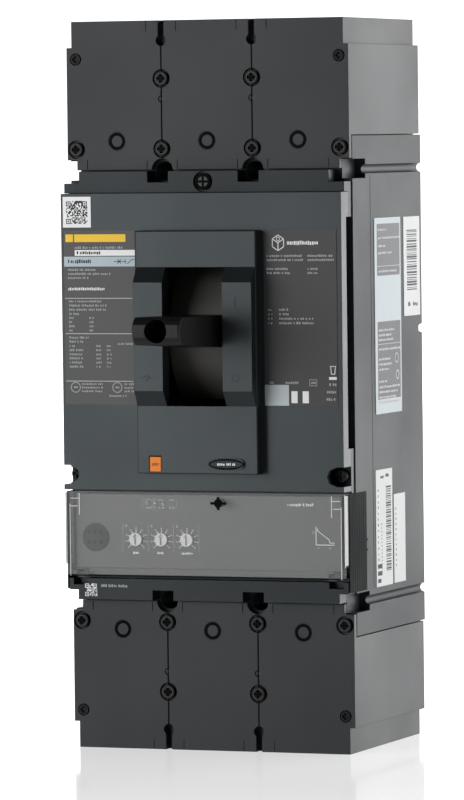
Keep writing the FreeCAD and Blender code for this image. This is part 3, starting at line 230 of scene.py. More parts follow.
CASE_TINT = (0.86, 0.96, 1.0)
TERMINAL_TINT = (0.93, 0.97, 1.0)
CASE = moulded("case_grey", (0.026, 0.030, 0.032), 0.42, specular=0.12, tint=CASE_TINT)
FRONT = moulded("front_grey", (0.0105, 0.0130, 0.0142), 0.34, specular=0.27, tint=CASE_TINT)
RIM = moulded("rim_grey", (0.0060, 0.0075, 0.0083), 0.34, specular=0.17, tint=CASE_TINT)
TERMINAL = moulded("terminal_grey", (0.0185, 0.0200, 0.0218), 0.40, specular=0.19, tint=TERMINAL_TINT)
BLACK = moulded("deep_black", (0.001, 0.001, 0.0011), 0.5, specular=0.03)
HANDLE = moulded("handle_black", (0.004, 0.004, 0.0043), 0.42, vary=0.12, specular=0.2)
SHROUD = moulded("shroud_black", (0.072, 0.070, 0.063), 0.5, vary=0.15, specular=0.2)
SCREW = moulded("blackened_steel", (0.006, 0.006, 0.007), 0.35, grain=0.00002, specular=0.08)
# lighter grey that paints highlights on the screw heads and the seam bumps
PAINTED_HIGHLIGHT_GREY = moulded("painted_highlight_grey", (0.05, 0.05, 0.052), 0.4, grain=0.00002, specular=0.2)
PANEL = moulded("trip_panel_grey", (0.075, 0.075, 0.075), 0.4, specular=0.25)
DIAL = moulded("dial_white", (0.66, 0.66, 0.66), 0.35)
PORT = moulded("port_dark", (0.010, 0.010, 0.010), 0.6, grain=0.0002, vary=0.5, specular=0.1)
ORANGE = moulded("button_orange", (0.88, 0.24, 0.015), 0.35, specular=0.2)
LEFT_FILM = paper("film_left", (0.088, 0.088, 0.089))
RIGHT_FILM = paper("film_right", (0.054, 0.054, 0.056))
AMBER = paper("ink_amber", (0.92, 0.58, 0.045))
# white print ink; the same white also paints highlights on the clear flap's edges and right wall
WHITE_INK_AND_HIGHLIGHT = paper("white_ink_and_highlight", (0.82, 0.83, 0.83))
GREY_INK = paper("ink_grey", (0.36, 0.37, 0.38))
DARK_INK = paper("ink_dark", (0.02, 0.022, 0.025))
BURNT_INK = paper("ink_burnt_orange", (0.50, 0.15, 0.02))
BLUE_FILM = paper("film_blue", (0.46, 0.55, 0.59))
LABEL_BLUE = paper("label_blue", (0.70, 0.77, 0.80))
LABEL_GREY = paper("label_grey", (0.22, 0.225, 0.235))
# the rib panel's own grey, also used for the painted shadows beside the flap's edges
RIB_AND_SHADOW = moulded("rib_and_shadow_grey", (0.006, 0.008, 0.009), 0.6, specular=0.04)
WHITE_FILM = paper("film_white", (0.88, 0.89, 0.89))
SILVER = paper("silver_patch", (0.48, 0.54, 0.57), 0.4)
STEEL = metal("plated_steel", (0.55, 0.55, 0.53))
COPPER = metal("plated_copper", (0.75, 0.42, 0.25), 0.25)
ALUMINIUM = metal("machined_aluminium", (0.74, 0.75, 0.76), 0.3)
THERMOSET = moulded("thermoset_red", (0.22, 0.06, 0.04), 0.5)
BOARD = moulded("board_green", (0.01, 0.10, 0.04), 0.3)
LAMP = moulded("lamp_green", (0.07, 0.11, 0.07), 0.2)
CLEAR = clear_sheet("clear_flap")

FINISHES = {
    CASE: ["base_case"],
    FRONT: ["accessory_cover", "rating_plug"],
    RIM: ["main_cover"],
    TERMINAL: [f"{end}_terminal_cover_{side}" for end in ("upper", "lower")
               for side in ("left", "centre", "right")] + ["terminal_plugs"],
    SCREW: ["terminal_cover_screws", "terminal_corner_caps", "main_cover_screw",
            "accessory_cover_screws", "seal_screw", "flap_pins"],
    HANDLE: ["swing_handle", "flap_brackets"],
    SHROUD: ["handle_shroud"],
    BLACK: ["rotor_centre", "rotors_outer", "trip_bar", "trip_solenoid"],
    PORT: ["test_port"],
    PANEL: ["trip_unit_housing", "trip_unit_front", "trip_bar_bearings", "current_sensors"],
    DIAL: ["pickup_dial", "delay_dial", "instant_dial"],
    ORANGE: ["trip_button"],
    LEFT_FILM: ["left_nameplate"],
    RIGHT_FILM: ["right_nameplate"],
    WHITE_FILM: ["code_sticker", "side_labels"],
    STEEL: ["handle_yoke", "mechanism_side_plates", "handle_pivot_pins", "cradle_pin", "cradle",
            "main_springs", "arc_plates", "drive_shaft", "drive_link", "crank_pin", "knee_pin",
            "lug_screws", "terminal_screws", "trip_plunger"],
    COPPER: ["contact_arms", "line_terminals", "load_terminals"],
    ALUMINIUM: ["lugs"],
    THERMOSET: ["pole_cassette_centre", "pole_cassettes_outer"],
    BOARD: ["circuit_board"],
    LAMP: ["indicator_lights"],
    CLEAR: ["trip_unit_cover"],
}


def apply_finishes():
    for finish, names in FINISHES.items():
        for name in names:
            for socket in frame["nodes"][name].material_slots:
                socket.material = finish


apply_finishes()


# ---------- printed marks: thin plates lying on a face ----------

class Sheet:
    """A face to print on: across and up are its directions, out points away from the object."""

    def __init__(self, origin, across, up, body="case"):
        self.origin = Vector(origin)
        self.across = Vector(across)
        self.up = Vector(up)
        self.out = self.across.cross(self.up)
        self.body = body

    def point(self, a, u, lift):
        return self.origin + self.across * a + self.up * u + self.out * lift


def add_plate(mesh, sheet, outline, lift, thick):
    """A thin prism over a closed outline of (across, up) points."""
    low = [mesh.verts.new(sheet.point(a, u, lift)) for a, u in outline]
    high = [mesh.verts.new(sheet.point(a, u, lift + thick)) for a, u in outline]
    mesh.faces.new(reversed(low))
    mesh.faces.new(high)
    count = len(outline)
    for number in range(count):
        following = (number + 1) % count
        mesh.faces.new((low[number], low[following], high[following], high[number]))


def printed(name, sheet, outlines, material, lift=0.0, thick=0.05):
    """One piece holding every outline, printed on the sheet; sizes are in millimetres."""
    mesh = bmesh.new()
    for outline in outlines:
        scaled = [(a * MM, u * MM) for a, u in outline]
        add_plate(mesh, sheet, scaled, lift * MM, thick * MM)
    bmesh.ops.recalc_face_normals(mesh, faces=mesh.faces)
    data = bpy.data.meshes.new(name)
    mesh.to_mesh(data)
    mesh.free()
    data.materials.append(material)
    piece = bpy.data.objects.new(name, data)
    bpy.context.collection.objects.link(piece)
    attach(piece, sheet.body)


# ---------- outlines ----------

def bar(a0, a1, u0, u1, corner=0.0):
    """A rectangle's outline, with rounded corners when corner isn't zero."""
    if corner == 0.0:
        return [(a0, u0), (a1, u0), (a1, u1), (a0, u1)]
    points = []
    for (a, u), start in (((a1 - corner, u0 + corner), -90), ((a1 - corner, u1 - corner), 0),
                          ((a0 + corner, u1 - corner), 90), ((a0 + corner, u0 + corner), 180)):
        for step in range(4):
            angle = math.radians(start + 30 * step)
            points.append((a + corner * math.cos(angle), u + corner * math.sin(angle)))
    return points


def line(a0, u0, a1, u1, wide):
    """A straight stroke's outline."""
    along = Vector((a1 - a0, u1 - u0)).normalized() * (wide / 2)
    side = Vector((-along.y, along.x))
    ends = [Vector((a0, u0)) - side, Vector((a1, u1)) - side,
            Vector((a1, u1)) + side, Vector((a0, u0)) + side]
    return [tuple(end) for end in ends]


def path(points, wide, closed=False):
    """Strokes from each point to the next, and back to the first when closed."""
    following = points[1:] + points[:1] if closed else points[1:]
    return [line(*first, *second, wide) for first, second in zip(points, following)]


def arc(a, u, radius, wide, start=0.0, end=360.0, steps=24):
    """Short strokes that make up a ring or an arc."""
    strokes = []
    inner, outer = radius - wide / 2, radius + wide / 2
    for step in range(steps):
        first = math.radians(start + (end - start) * step / steps)
        last = math.radians(start + (end - start) * (step + 1) / steps)
        strokes.append([(a + inner * math.cos(first), u + inner * math.sin(first)),
                        (a + outer * math.cos(first), u + outer * math.sin(first)),
                        (a + outer * math.cos(last), u + outer * math.sin(last)),
                        (a + inner * math.cos(last), u + inner * math.sin(last))])
    return strokes


def oval(a, u, half_width, half_height, steps=32):
    """An ellipse's outline."""
    turns = [2 * math.pi * step / steps for step in range(steps)]
    return [(a + half_width * math.cos(turn), u + half_height * math.sin(turn)) for turn in turns]


def disc(a, u, radius, steps=24):
    """A circle's outline."""
    return oval(a, u, radius, radius, steps)


def words(a0, a1, u, tall=1.1):
    """A row of plain bars with small gaps, as long as a line of print and with nothing to read."""
    strokes = []
    place = a0
    while place < a1 - 0.6:
        wide = min(draw.uniform(0.5, 1.1), a1 - place)
        low = u - tall / 2 * draw.uniform(0.7, 1.0)
        strokes.append(bar(place, place + wide * 0.8, low, u + tall / 2 * draw.uniform(0.4, 1.0)))
        place += wide + (0.7 if draw.random() < 0.18 else 0.12)
    return strokes


# ---------- sheets on the model ----------

def on_front(node, body="case"):
    """A sheet on the front face of a node, measured from the object's own middle."""
    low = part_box(node)[0]
    return Sheet((0, low[1], 0), RIGHT, UP, body)


def front_at(depth):
    """A sheet facing forward at a depth from the mounting face."""
    return Sheet((0, -depth * MM, 0), RIGHT, UP)


def from_corner(node):
    """A sheet on a node's front, measured from its upper left corner, and the node's width."""
    low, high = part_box(node)
    return Sheet((low[0], low[1], high[2]), RIGHT, UP), (high[0] - low[0]) / MM


def extent(node):
    """A node's left, right, bottom and top, in millimetres."""
    low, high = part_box(node)
    return low[0] / MM, high[0] / MM, low[2] / MM, high[2] / MM


def middle_of(node):
    """The middle of a node's front, and half its width and height, in millimetres."""
    left, right, bottom, top = extent(node)
    return (left + right) / 2, (bottom + top) / 2, (right - left) / 2, (top - bottom) / 2


# ---------- left nameplate ----------

def breaker_symbol(right, level):
    """The circuit symbol: a line with a cross on it, an end stop and an open blade."""
    strokes = path([(right - 10.5, level), (right - 4.8, level)], 0.3)
    strokes += path([(right - 4.8, level - 1), (right - 4.8, level + 1)], 0.3)
    strokes += path([(right - 3.8, level - 1), (right - 1.6, level + 0.9), (right - 0.2, level + 0.9)], 0.3)
    for tilt in (-1, 1):
        strokes.append(line(right - 8.8, level - tilt, right - 7, level + tilt, 0.3))
    return strokes


def left_bands(sheet, wide):
    amber = [bar(5.2, wide - 4.6, -5.4, -1.8), bar(0.8, 4.6, -5.4, -1.8)]
    printed("left_amber_band", sheet, amber, AMBER)
    printed("left_white_band", sheet, [bar(5.4, wide, -11.8, -9.1)], WHITE_FILM)
    printed("left_blue_band", sheet, [bar(0, wide, -16.8, -12.2)], BLUE_FILM)
    dark = words(2, 14, -14.4, 2.0) + breaker_symbol(wide, -14.5) + words(6.4, 19, -10.4, 1.5)
    printed("left_dark_print", sheet, dark, DARK_INK, lift=0.05)


def left_tables():
    """Rows of print and the two rating tables."""
    grey = []
    for end, level in ((16, -18.3), (23.4, -20.2), (12.8, -22.1)):
        grey += words(1.9, end, level)
    for row, end in enumerate((18.5, 21.2, 21.0, 8.6)):
        grey += words(2.2, end, -33.0 - 1.95 * row)
        grey += words(2.2, 5, -40.7 - 1.95 * row)
        grey += words(12.4, 14.8, -40.7 - 1.95 * row)
    grey += words(2.2, 12.5, -49.9) + words(2.2, 9.6, -51.8)
    return grey


def left_lower_table(wide):
    grey = words(26.6, wide - 0.5, -52.8)
    for row in range(6):
        level = -53.8 - 1.93 * row
        grey += words(2.2, 5 if row == 0 else 9.2, level)
        grey += words(15.6, 18.4, level) + words(21.0, 23.4, level)
    return grey


def left_approvals(wide):
    """Two ringed marks with a few rows of print beside each."""
    level = -73.1
    grey = []
    for middle in (5.1, 26):
        grey += arc(middle, level, 2.3, 0.45)
        grey.append(line(middle - 1, level, middle + 1, level, 0.7))
    for row in range(3):
        grey += words(8.2, 19, -71.5 - 1.7 * row, 1.0)
        grey += words(29.6, wide - 0.8, -71.5 - 1.7 * row, 1.0)
    return grey + words(22, 30.6, -77)


def left_nameplate():
    sheet, wide = from_corner("left_nameplate")
    left_bands(sheet, wide)
    grey = words(5.4, wide - 6, -8, 1.3) + left_tables() + left_lower_table(wide) + left_approvals(wide)
    printed("left_grey_print", sheet, grey, GREY_INK)
    white = words(1.9, 20.4, -27.2, 1.5)
    white += [line(0.3, level, wide - 1.5, level, 0.22) for level in (-31.6, -48.1, -70.2)]
    printed("left_white_print", sheet, white, WHITE_INK_AND_HIGHLIGHT)


# ---------- right nameplate ----------

def block_emblem(middle, level):
    """A block drawn from one corner, with a bore in its top face."""
    corners = []
    for number in range(6):
        turn = math.radians(30 + 60 * number)
        corners.append((middle + 3.2 * math.cos(turn), level + 3.6 * math.sin(turn)))
    edges = [line(middle, level, *corner, 0.4) for corner in corners[::2]]
    return path(corners, 0.4, closed=True) + edges + arc(middle, level + 1.8, 0.8, 0.3)


def right_print(wide):
    grey = []
    rows = ((-12.2, 19.5, 34.6), (-14.1, 19.5, 34.6), (-18.2, 12.6, 27), (-20.1, 13, 27))
    for level, first_end, second_end in rows:
        grey += words(1.5, first_end, level) + words(21.6, second_end, level)
    for row, end in enumerate((12.5, 13.5, 24.5, 25)):
        level = -37 - 2.05 * row
        grey += words(1.9, 4.2, level) + words(7.4, end, level, 1.2)
    grey += words(2.4, 4.6, -70.6, 1.4) + words(10.2, 16.8, -70.6, 1.4)
    grey += path(bar(22.0, 25.5, -72, -69.2), 0.3, closed=True) + words(22.7, 25.1, -70.6, 1.2)
    for start, level in ((31.6, -71.4), (30.4, -74.8), (30.2, -78.2)):
        grey += words(start, wide - 0.4, level, 1.3)
    return grey


def bin_mark(middle):
    """A waste bin over a bar."""
    lid = [line(middle - 1.5, -63, middle + 1.5, -63, 0.35)]
    tub = path([(middle - 1.2, -63), (middle - 0.8, -66.6), (middle + 0.8, -66.6),
                (middle + 1.2, -63)], 0.35)
    return lid + tub + [bar(middle - 2, middle + 1.8, -69.2, -67.9)]


def right_nameplate():
    sheet, wide = from_corner("right_nameplate")
    foot = -2 * middle_of("right_nameplate")[3]
    emblem = block_emblem(7.2, -6.2) + words(11.6, 27, -6.2, 2.2)
    printed("right_white_print", sheet, emblem, WHITE_INK_AND_HIGHLIGHT)
    printed("right_grey_print", sheet, right_print(wide), GREY_INK)
    blocks = [bar(start, start + 3, -80, -74.5) for start in (13, 18.5)]
    printed("right_marks", sheet, bin_mark(wide - 2.2) + blocks, WHITE_INK_AND_HIGHLIGHT)
    printed("right_silver_patch", sheet, [bar(0, 11.8, foot + 0.2, foot + 9.8)], SILVER)


# ---------- code squares ----------

def framed_cell(x, y, cell):
    """A square frame with a smaller square in it."""
    reach = 4.5 * cell
    rim = 0.8 * cell
    return [bar(x, x + reach, y, y + rim),
            bar(x, x + reach, y + reach - rim, y + reach),
            bar(x, x + rim, y + rim, y + reach - rim),
            bar(x + reach - rim, x + reach, y + rim, y + reach - rim),
            bar(x + 1.6 * cell, x + 2.9 * cell, y + 1.6 * cell, y + 2.9 * cell)]


def code_square(name, sheet, left, bottom, side, count, material, margin):
    """A square of random cells, with a framed cell in three corners; it holds no message."""
    cell = side * (1 - 2 * margin) / count
    start_a, start_u = left + side * margin, bottom + side * margin
    corners = [(0, count - 5), (0, 0), (count - 5, count - 5)]
    cells = []
    for column in range(count):
        for row in range(count):
            framed = any(a <= column < a + 5 and u <= row < u + 5 for a, u in corners)
            if not framed and draw.random() < 0.48:
                cells.append(bar(start_a + column * cell, start_a + (column + 1) * cell,
                                 start_u + row * cell, start_u + (row + 1) * cell))
    for a, u in corners:
        cells += framed_cell(start_a + a * cell, start_u + u * cell, cell)
    printed(name, sheet, cells, material)


def code_squares():
    middle, level, half, tall = middle_of("code_sticker")
    sticker = on_front("code_sticker")
    code_square("code_sticker_cells", sticker, middle - half, level - tall, 2 * half, 21, DARK_INK, 0.12)
    rim = front_at(RIM_FACE)
    code_square("rim_code_cells", rim, -62.1, -98.9, 7, 14, WHITE_INK_AND_HIGHLIGHT, 0.06)
    printed("rim_print", rim, words(-53.6, -40, -93.4, 1.5), GREY_INK)


# ---------- raised box: switch marks, badge and button ----------

def switch_marks():
    """On, tripped and off marks on the right strip, and a small circuit symbol on the left one."""
    ink = [line(21.3, 37, 21.3, 41.6, 0.4), [(19.9, 25.6), (21.6, 22.6), (23.3, 25.6)]]
    ink += arc(21.1, 4.8, 1.7, 0.35)
    middle, level, half = -22.8, 4.6, 1.4
    ink.append(line(middle - 4.2, level, middle - 1.6, level, 0.3))
    ink.append(line(middle + 1.6, level, middle + 4.4, level, 0.3))
    diamond = [(middle - half, level), (middle, level - half),
               (middle + half, level), (middle, level + half)]
    ink += path(diamond, 0.3, closed=True)
    printed("switch_marks", on_front("accessory_cover"), ink, DARK_INK, thick=0.06)


def badge():
    """An oval plate: a black ring, a dark face and one row of print."""
    sheet = on_front("rating_plug")
    middle, level, wide, tall = middle_of("rating_plug")
    printed("badge_ring", sheet, [oval(middle, level, wide, tall)], BLACK)
    printed("badge_face", sheet, [oval(middle, level, wide - 0.9, tall - 0.8)], RIM, lift=0.05)
    printed("badge_print", sheet, words(middle - 4.5, middle + 4.5, level, 1.4), WHITE_INK_AND_HIGHLIGHT, lift=0.1)


def button_marks():
    """Print that rides on the button, and painted shade in the gap beside it and above it."""
    left, right, bottom, top = extent("trip_button")
    row = words(left + 0.9, right - 0.9, (bottom + top) / 2, 1.7)
    printed("button_mark", on_front("trip_button", "trip_button"), row, BURNT_INK)
    # painted shade in the gap along the button's left side and top
    gap = [line(left - 0.3, bottom - 0.3, left - 0.3, top + 0.6, 0.6),
           line(left - 0.6, top + 0.3, right + 0.3, top + 0.3, 0.6)]
    printed("button_gap_shade", front_at(RAISED_FACE), gap, BLACK)


# ---------- trip unit face and flap ----------

def dial_scale(x, z):
    """Nine ticks around a dial, and a small square outside each."""
    ticks = []
    squares = []
    for step in range(9):
        turn = math.radians(225 - 33.75 * step)
        cosine, sine = math.cos(turn), math.sin(turn)
        ticks.append(line(x + 3.3 * cosine, z + 3.3 * sine, x + 4.5 * cosine, z + 4.5 * sine, 0.38))
        a, u = x + 5.3 * cosine, z + 5.2 * sine
        squares.append(bar(a - 0.45, a + 0.45, u - 0.35, u + 0.35))
    return ticks, squares


def dial_marks():
    """The scales, the print under each dial and the thin lines between the dials."""
    white = []
    grey = []
    middles = [middle_of(name)[:2] for name in ("pickup_dial", "delay_dial", "instant_dial")]
    between = (middles[1][0] - middles[0][0]) / 2
    for number, (x, z) in enumerate(middles):
        ticks, squares = dial_scale(x, z)
        reach = 1.6 + 0.6 * number
        white += ticks + words(x - reach, x + reach, z - 6.3, 1.2)
        grey += squares + [bar(x - 5.4, x - 4.6, z + 5.6, z + 6.8)]
        grey.append(line(x - between - 0.3, z - 6, x - between - 0.3, z + 7, 0.18))
    grey.append(line(x + between - 0.5, z - 5.7, x + between - 0.5, z + 7.2, 0.18))
    return white, grey


def lamp_marks():
    """Brackets and print around the indicator lamps."""
    strokes = path([(-32.6, -57.6), (-32.6, -53), (-29, -53)], 0.2)
    strokes += [line(-15.7, -57, -15.7, -53, 0.2), line(-27, -57.6, -27, -52, 0.3),
                line(-26.2, -57.6, -26.2, -52, 0.2)]
    for place in (-31, -24.6, -19.2):
        strokes += words(place, place + 3, -53, 0.9) + words(place, place + 3.4, -56.6, 1.1)
    return strokes


def curve_marks():
    """Two axes with a falling tripping curve, and three small squares beside them."""
    axes = path([(53.4, -64.5), (53.4, -72.9), (62.4, -72.9)], 0.4)
    curve = path([(54.2, -65.2), (54.2, -66.4), (60, -70.6), (60, -71.9), (62.4, -71.9)], 0.35)
    squares = [bar(51.6, 52.4, -67.6, -66.8), bar(54.2, 55, -74.6, -74), bar(59.8, 60.6, -74.6, -74)]
    return axes + curve, squares


def trip_face():
    sheet = on_front("trip_unit_front")
    white, grey = dial_marks()
    grey += lamp_marks()
    white += words(39.5, 52.3, -54.5, 1.5)
    curve, squares = curve_marks()
    printed("trip_white_print", sheet, white + curve, WHITE_INK_AND_HIGHLIGHT)
    printed("trip_grey_print", sheet, grey + squares, GREY_INK)


def seal_mark():
    """The dark seal eye at the top of the flap: a disc with a crossbar and an upright."""
    outer = on_front("trip_unit_cover", "trip_unit_cover")
    seal = [disc(7.5, -53.9, 2.1), bar(3.5, 11.5, -54.5, -53.3, 0.2), bar(6.8, 8.2, -57, -50.9, 0.2)]
    for number, outline in enumerate(seal):
        printed(f"seal_mark_{number}", outer, [outline], BLACK, lift=0.03 * number)


def flap_edge_highlights():
    """Painted highlights along the clear flap's moulded edges and catches, the painted shadows along them,
    and a painted highlight on the flap's right wall.
    """
    low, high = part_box("trip_unit_cover")
    inside = Sheet((0, low[1] + 1.7 * MM, 0), RIGHT, UP, "trip_unit_cover")
    left, right, bottom, top = extent("trip_unit_cover")
    edges = []
    for side in (-1, 1):
        outer = right * side
        # painted highlights along the flap's edges and catches
        edges += [line(outer - side * 0.5, top - 0.6, outer - side * 0.5, top - 34, 0.35),
                  line(outer - side * 2.3, top - 6, outer - side * 2.3, bottom + 0.8, 0.3),
                  line(outer - side * 2.6, top - 3.4, outer - side * 7, top - 3.4, 0.3),
                  line(outer - side * 7, top - 1, outer - side * 7, top - 11, 0.35),
                  line(outer - side * 2.6, top - 7, outer - side * 6.2, top - 7, 0.3)]
    printed("flap_edge_highlights", inside, edges, WHITE_INK_AND_HIGHLIGHT, thick=0.12)
    shadows = [line(left + 1.3, top - 0.6, left + 1.3, top - 34, 0.6),
               line(left + 0.2, top - 0.6, left + 0.2, top - 34, 0.4),
               line(left + 3, bottom + 1, right - 3, bottom + 1, 0.5)]
    printed("flap_edge_shadows", inside, shadows, RIB_AND_SHADOW, thick=0.1)
    wall = Sheet((high[0], 0, 0), (0, 1, 0), UP, "trip_unit_cover")
    # painted highlight on the flap's right wall
    printed("flap_wall", wall, [bar(-109.4, -105.2, -82, -50)], WHITE_INK_AND_HIGHLIGHT)


# ---------- right side: labels, ribs and step ----------

def side_sheet(side):
    """A sheet on the right (1) or left (-1) side of the case, whose across runs along y or against it."""
    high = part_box("base_case")[1]
    return Sheet((side * high[0], 0, 0), (0, side, 0), UP)


def side_bar(side, near, far, low, high):
    """An outline between two values of y, whichever way the sheet runs."""
    first, last = sorted((side * near, side * far))
    return bar(first, last, low, high)


def blue_label(sheet):
    """The tall pale blue label with two grey blocks of print."""
    near, far, bottom, top = -67.0, -30.5, -14.5, 77.0
    printed("label_blue", sheet, [bar(near, far, bottom, top, 1.2)], LABEL_BLUE)
    blocks = [bar(near + 3.4, far - 1.6, top - 27, top - 2.8),
              bar(near + 3.4, far - 1.6, bottom + 6.8, top - 48.5)]
    printed("label_grey_blocks", sheet, blocks, LABEL_GREY, lift=0.05)
    pale = []
    upper = ((5.6, 12), (9.4, 30), (13.2, 11), (16.4, 20), (25, 26))
    lower = ((52.5, 22), (54.8, 18), (57, 20), (61.4, 30), (66, 16), (68.4, 18), (70.8, 14),
             (76.4, 12), (79, 30), (81.4, 26), (83.8, 24), (86.2, 28))
    for drop, length in upper + lower:
        pale += words(near + 4.6, near + 4.6 + length, top - drop, 1.2)
    for drop in (22.6, 59):
        pale.append(line(near + 3.6, top - drop, far - 2, top - drop, 0.25))
    pale += arc(far - 7, top - 66, 2.2, 0.5) + arc(far - 6, top - 74, 2.0, 0.5)
    printed("label_pale_print", sheet, pale, WHITE_INK_AND_HIGHLIGHT, lift=0.1)


def stripes(near, far, top, bottom, thicks, gaps):
    """Random stripes stacked down a label; they hold no message."""
    strokes = []
    level = top
    while level > bottom:
        thick = draw.choice(thicks)
        strokes.append(bar(near, far, level - thick, level))
        level -= thick + draw.choice(gaps)
    return strokes


def white_labels(sheet):
    """Stripes and print on the white labels."""
    dark = stripes(-21.5, -7.5, 70.6, 42, (0.3, 0.5, 0.9), (0.35, 0.5, 0.8))
    dark += words(-20, -17, 35.5, 2.2) + words(-13, -6.5, 35.5, 2.2)
    dark += stripes(-54.5, -47.6, -48.5, -88, (0.3, 0.5, 0.8), (0.35, 0.5, 0.7))
    dark += words(-62, -57, -44, 1.4) + words(-55, -50, -43.4, 1.8)
    for row in range(14):
        dark += words(-65.6, -64.4, -50 - 2.7 * row, 1.4) + words(-61, -60.2, -66 - 1.7 * row, 1.0)
    for row in range(12):
        dark += words(-41, -40.2, -60 - 2.4 * row, 1.2)
    dark += [bar(-66.5, -60.5, -86.5, -84.5), bar(-66.5, -60.5, -89.8, -87.8)]
    dark.append(bar(-66.5, -62, -93.2, -91.4))
    printed("label_dark_print", sheet, dark, DARK_INK)


def side_labels():
    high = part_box("side_labels")[1]
    sheet = Sheet((high[0], 0, 0), (0, 1, 0), UP)
    blue_label(sheet)
    white_labels(sheet)


def side_ribs():
    """A ribbed panel beside the trip unit, with painted shade in its grooves, and a painted shade line for
    a low step along the case, on both sides.
    """
    for name, side in (("right", 1), ("left", -1)):
        sheet = side_sheet(side)
        printed(f"{name}_rib_panel", sheet, [side_bar(side, -105.3, -81.8, -95, -49.2)], RIB_AND_SHADOW, thick=0.3)
        # painted shade: dark strokes in the grooves between the ribs
        grooves = [side_bar(side, start, start + 0.9, -94.6, -49.6) for start in range(-104, -83, 3)]
        grooves += [side_bar(side, -82.2, -80.2, level, level + 0.8) for level in (-72, -76.8)]
        printed(f"{name}_rib_groove_shade", sheet, grooves, BLACK, lift=0.3)
        # painted shade line along the low step
        printed(f"{name}_step", sheet, [side_bar(side, -71.7, -71.4, -95, 97)], PORT, thick=0.06)


# ---------- terminal covers: mould lines, screws and plugs ----------

SEAMS = (-POLE_PITCH / 2, POLE_PITCH / 2)
ENDS = (1, -1)


def cover_lines():
    """Dark seam gaps and short lines on the terminal covers, painted shade in the small grooves at their
    inner edge, and painted shade with a painted highlight on the bump in each seam.
    """
    lines = []
    for end in ENDS:
        for x in (-60, -30, -15, 15, 30, 60):
            # painted shade in the small grooves at the covers' inner edge
            lines.append(line(x, end * 101, x, end * 105.3, 0.35))
        for x in SEAMS:
            # painted shade on one side of the seam bump
            lines += arc(x, end * SEAM_BUMP, 1.5, 0.5, 90, 270, 10)
            lines.append(line(x, end * 106, x, end * 158.4, 0.7))
            for side in (-7.5, 7.5):
                lines.append(line(x + side, end * 165, x + side, end * 169.6, 0.3))
    sheet = on_front("upper_terminal_cover_centre")
    printed("cover_seams_and_groove_shade", sheet, lines, BLACK, thick=0.04)
    # painted highlight on the other side of each seam bump
    dots = [disc(x + 0.8, end * SEAM_BUMP, 0.6, 12) for x in SEAMS for end in ENDS]
    printed("seam_bump_highlights", sheet, dots, PAINTED_HIGHLIGHT_GREY)


def cover_screws():
    """A painted highlight ring and painted shade in the recess of each terminal cover screw."""
    rings = []
    recesses = []
    for end in ENDS:
        places = [(x, end * height) for x in SEAMS for height in SEAM_SCREWS]
        places += [(side * CORNER_SCREW[0], end * CORNER_SCREW[1]) for side in (-1, 1)]
        for x, z in places:
            # painted highlight ring round each head's rim
            rings += arc(x, z, 2.35, 0.45)
            # painted shade in each drive recess
            recesses.append(disc(x, z, 1.5, 6))
    heads = on_front("terminal_cover_screws")
    printed("screw_highlight_rings", heads, rings, PAINTED_HIGHLIGHT_GREY)
    printed("screw_recess_shade", heads, recesses, BLACK)


def plug_rings():
    """The black ring in each plug's groove."""
    rings = []
    for end in ENDS:
        for x in (-POLE_PITCH, 0, POLE_PITCH):
            rings += arc(x, end * PLUG_HEIGHT, 3.35, 1.6)
    printed("plug_rings", on_front("upper_terminal_cover_centre"), rings, BLACK, lift=-0.3)


def main_screw():
    """The big cross head above the front: painted shade in a ring round it, a painted highlight over its
    face and painted shade in its cross.
    """
    middle, level, radius = middle_of("main_cover_screw")[:3]
    head = on_front("main_cover_screw")
    face = radius - 1.4
    # painted shade in the ring round the head
    printed("main_screw_shadow_ring", head, arc(middle, level, face + 0.7, 1.4), BLACK)
    # painted highlight: a lighter face over the head
    printed("main_screw_face_highlight", head, [disc(middle, level, face)], PAINTED_HIGHLIGHT_GREY)
    reach = face + 0.1
    # painted shade in the cross recess
    cross = [bar(middle - reach, middle + reach, level - 0.55, level + 0.55),
             bar(middle - 0.55, middle + 0.55, level - reach, level + reach)]
    for number, stroke in enumerate(cross):
        printed(f"main_screw_cross_shade_{number}", head, [stroke], BLACK, lift=0.05 + 0.02 * number)


left_nameplate()
right_nameplate()
code_squares()
switch_marks()
badge()
button_marks()
trip_face()
seal_mark()
flap_edge_highlights()
side_labels()
side_ribs()
cover_lines()
cover_screws()
plug_rings()
main_screw()


# ---------- stage, light and camera ----------

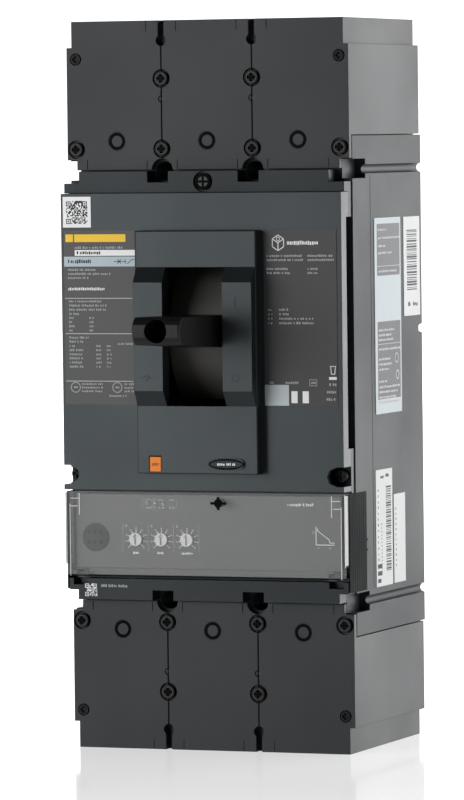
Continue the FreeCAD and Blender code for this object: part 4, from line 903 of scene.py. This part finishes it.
def stage():
    """A floor that curves up into a wall well behind the object."""
    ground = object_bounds()[0][2]
    width, back, front, rise, radius = 5.0, 4.6, -4.0, 4.0, 0.6
    profile = [(front, 0.0), (back - radius, 0.0)]
    for degrees in range(10, 91, 10):
        turn = math.radians(degrees)
        profile.append((back - radius + radius * math.sin(turn), radius - radius * math.cos(turn)))
    profile.append((back, rise))
    mesh = bmesh.new()
    rows = [[mesh.verts.new((x, y, z + ground)) for y, z in profile] for x in (-width, width)]
    for number in range(len(profile) - 1):
        mesh.faces.new((rows[0][number], rows[1][number], rows[1][number + 1], rows[0][number + 1]))
    data = bpy.data.meshes.new("floor")
    mesh.to_mesh(data)
    mesh.free()
    data.materials.append(studio_white("floor_white"))
    floor = bpy.data.objects.new("floor", data)
    bpy.context.collection.objects.link(floor)
    floor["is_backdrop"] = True


def world():
    """White behind the object for the camera, and dim around it."""
    studio = bpy.data.worlds.new("studio")
    bpy.context.scene.world = studio
    studio.use_nodes = True
    nodes = studio.node_tree.nodes
    links = studio.node_tree.links
    path_kind = nodes.new("ShaderNodeLightPath")
    level = nodes.new("ShaderNodeMapRange")
    level.inputs["To Min"].default_value = WORLD_FILL
    level.inputs["To Max"].default_value = 1.0
    links.new(path_kind.outputs["Is Camera Ray"], level.inputs["Value"])
    nodes["Background"].inputs["Color"].default_value = (1.0, 1.0, 1.0, 1.0)
    links.new(level.outputs["Result"], nodes["Background"].inputs["Strength"])
    bpy.context.scene.view_settings.view_transform = "Standard"


def soft_box(name, place, target, size, power):
    """A rectangular lamp at a place, turned to face its target."""
    light = bpy.data.lights.new(name, "AREA")
    light.shape = "RECTANGLE"
    light.size, light.size_y = size
    light.energy = power
    item = bpy.data.objects.new(name, light)
    bpy.context.collection.objects.link(item)
    item.location = place
    item.rotation_euler = (Vector(target) - Vector(place)).to_track_quat("-Z", "Y").to_euler()


def lights():
    """One large box gives the front its sheen; two behind on the right graze that side."""
    soft_box("front_box", (-1.5, -2.0, 0.25), (0, -0.1, 0.0), (1.7, 1.4), 56.0)
    soft_box("side_box", (0.95, 1.5, 0.15), (0.07, -0.05, 0), (0.9, 1.6), 14.0)
    soft_box("side_fill", (1.6, 0.5, 0.2), (0.07, -0.03, 0), (0.8, 1.2), 13.0)


def camera():
    """A long lens from the front and a little to the right, rolled slightly."""
    azimuth, elevation, roll = math.radians(20.9), math.radians(2.46), math.radians(-0.659)
    distance = 2.7429
    target = Vector((0, -0.055, 0))
    back = Vector((math.sin(azimuth) * math.cos(elevation), -math.cos(azimuth) * math.cos(elevation),
                   math.sin(elevation)))
    level_right = Vector(UP).cross(back).normalized()
    level_up = back.cross(level_right)
    right = level_right * math.cos(roll) + level_up * math.sin(roll)
    up = level_up * math.cos(roll) - level_right * math.sin(roll)
    lens = bpy.data.cameras.new("camera")
    lens.sensor_width = 36.0
    lens.lens = 261.7425
    lens.shift_x = -0.015
    lens.shift_y = -0.0228
    item = bpy.data.objects.new("camera", lens)
    bpy.context.collection.objects.link(item)
    turn = Matrix((right, up, back)).transposed().to_4x4()
    item.matrix_world = Matrix.Translation(target + back * distance) @ turn
    bpy.context.scene.camera = item


stage()
world()
lights()
camera()
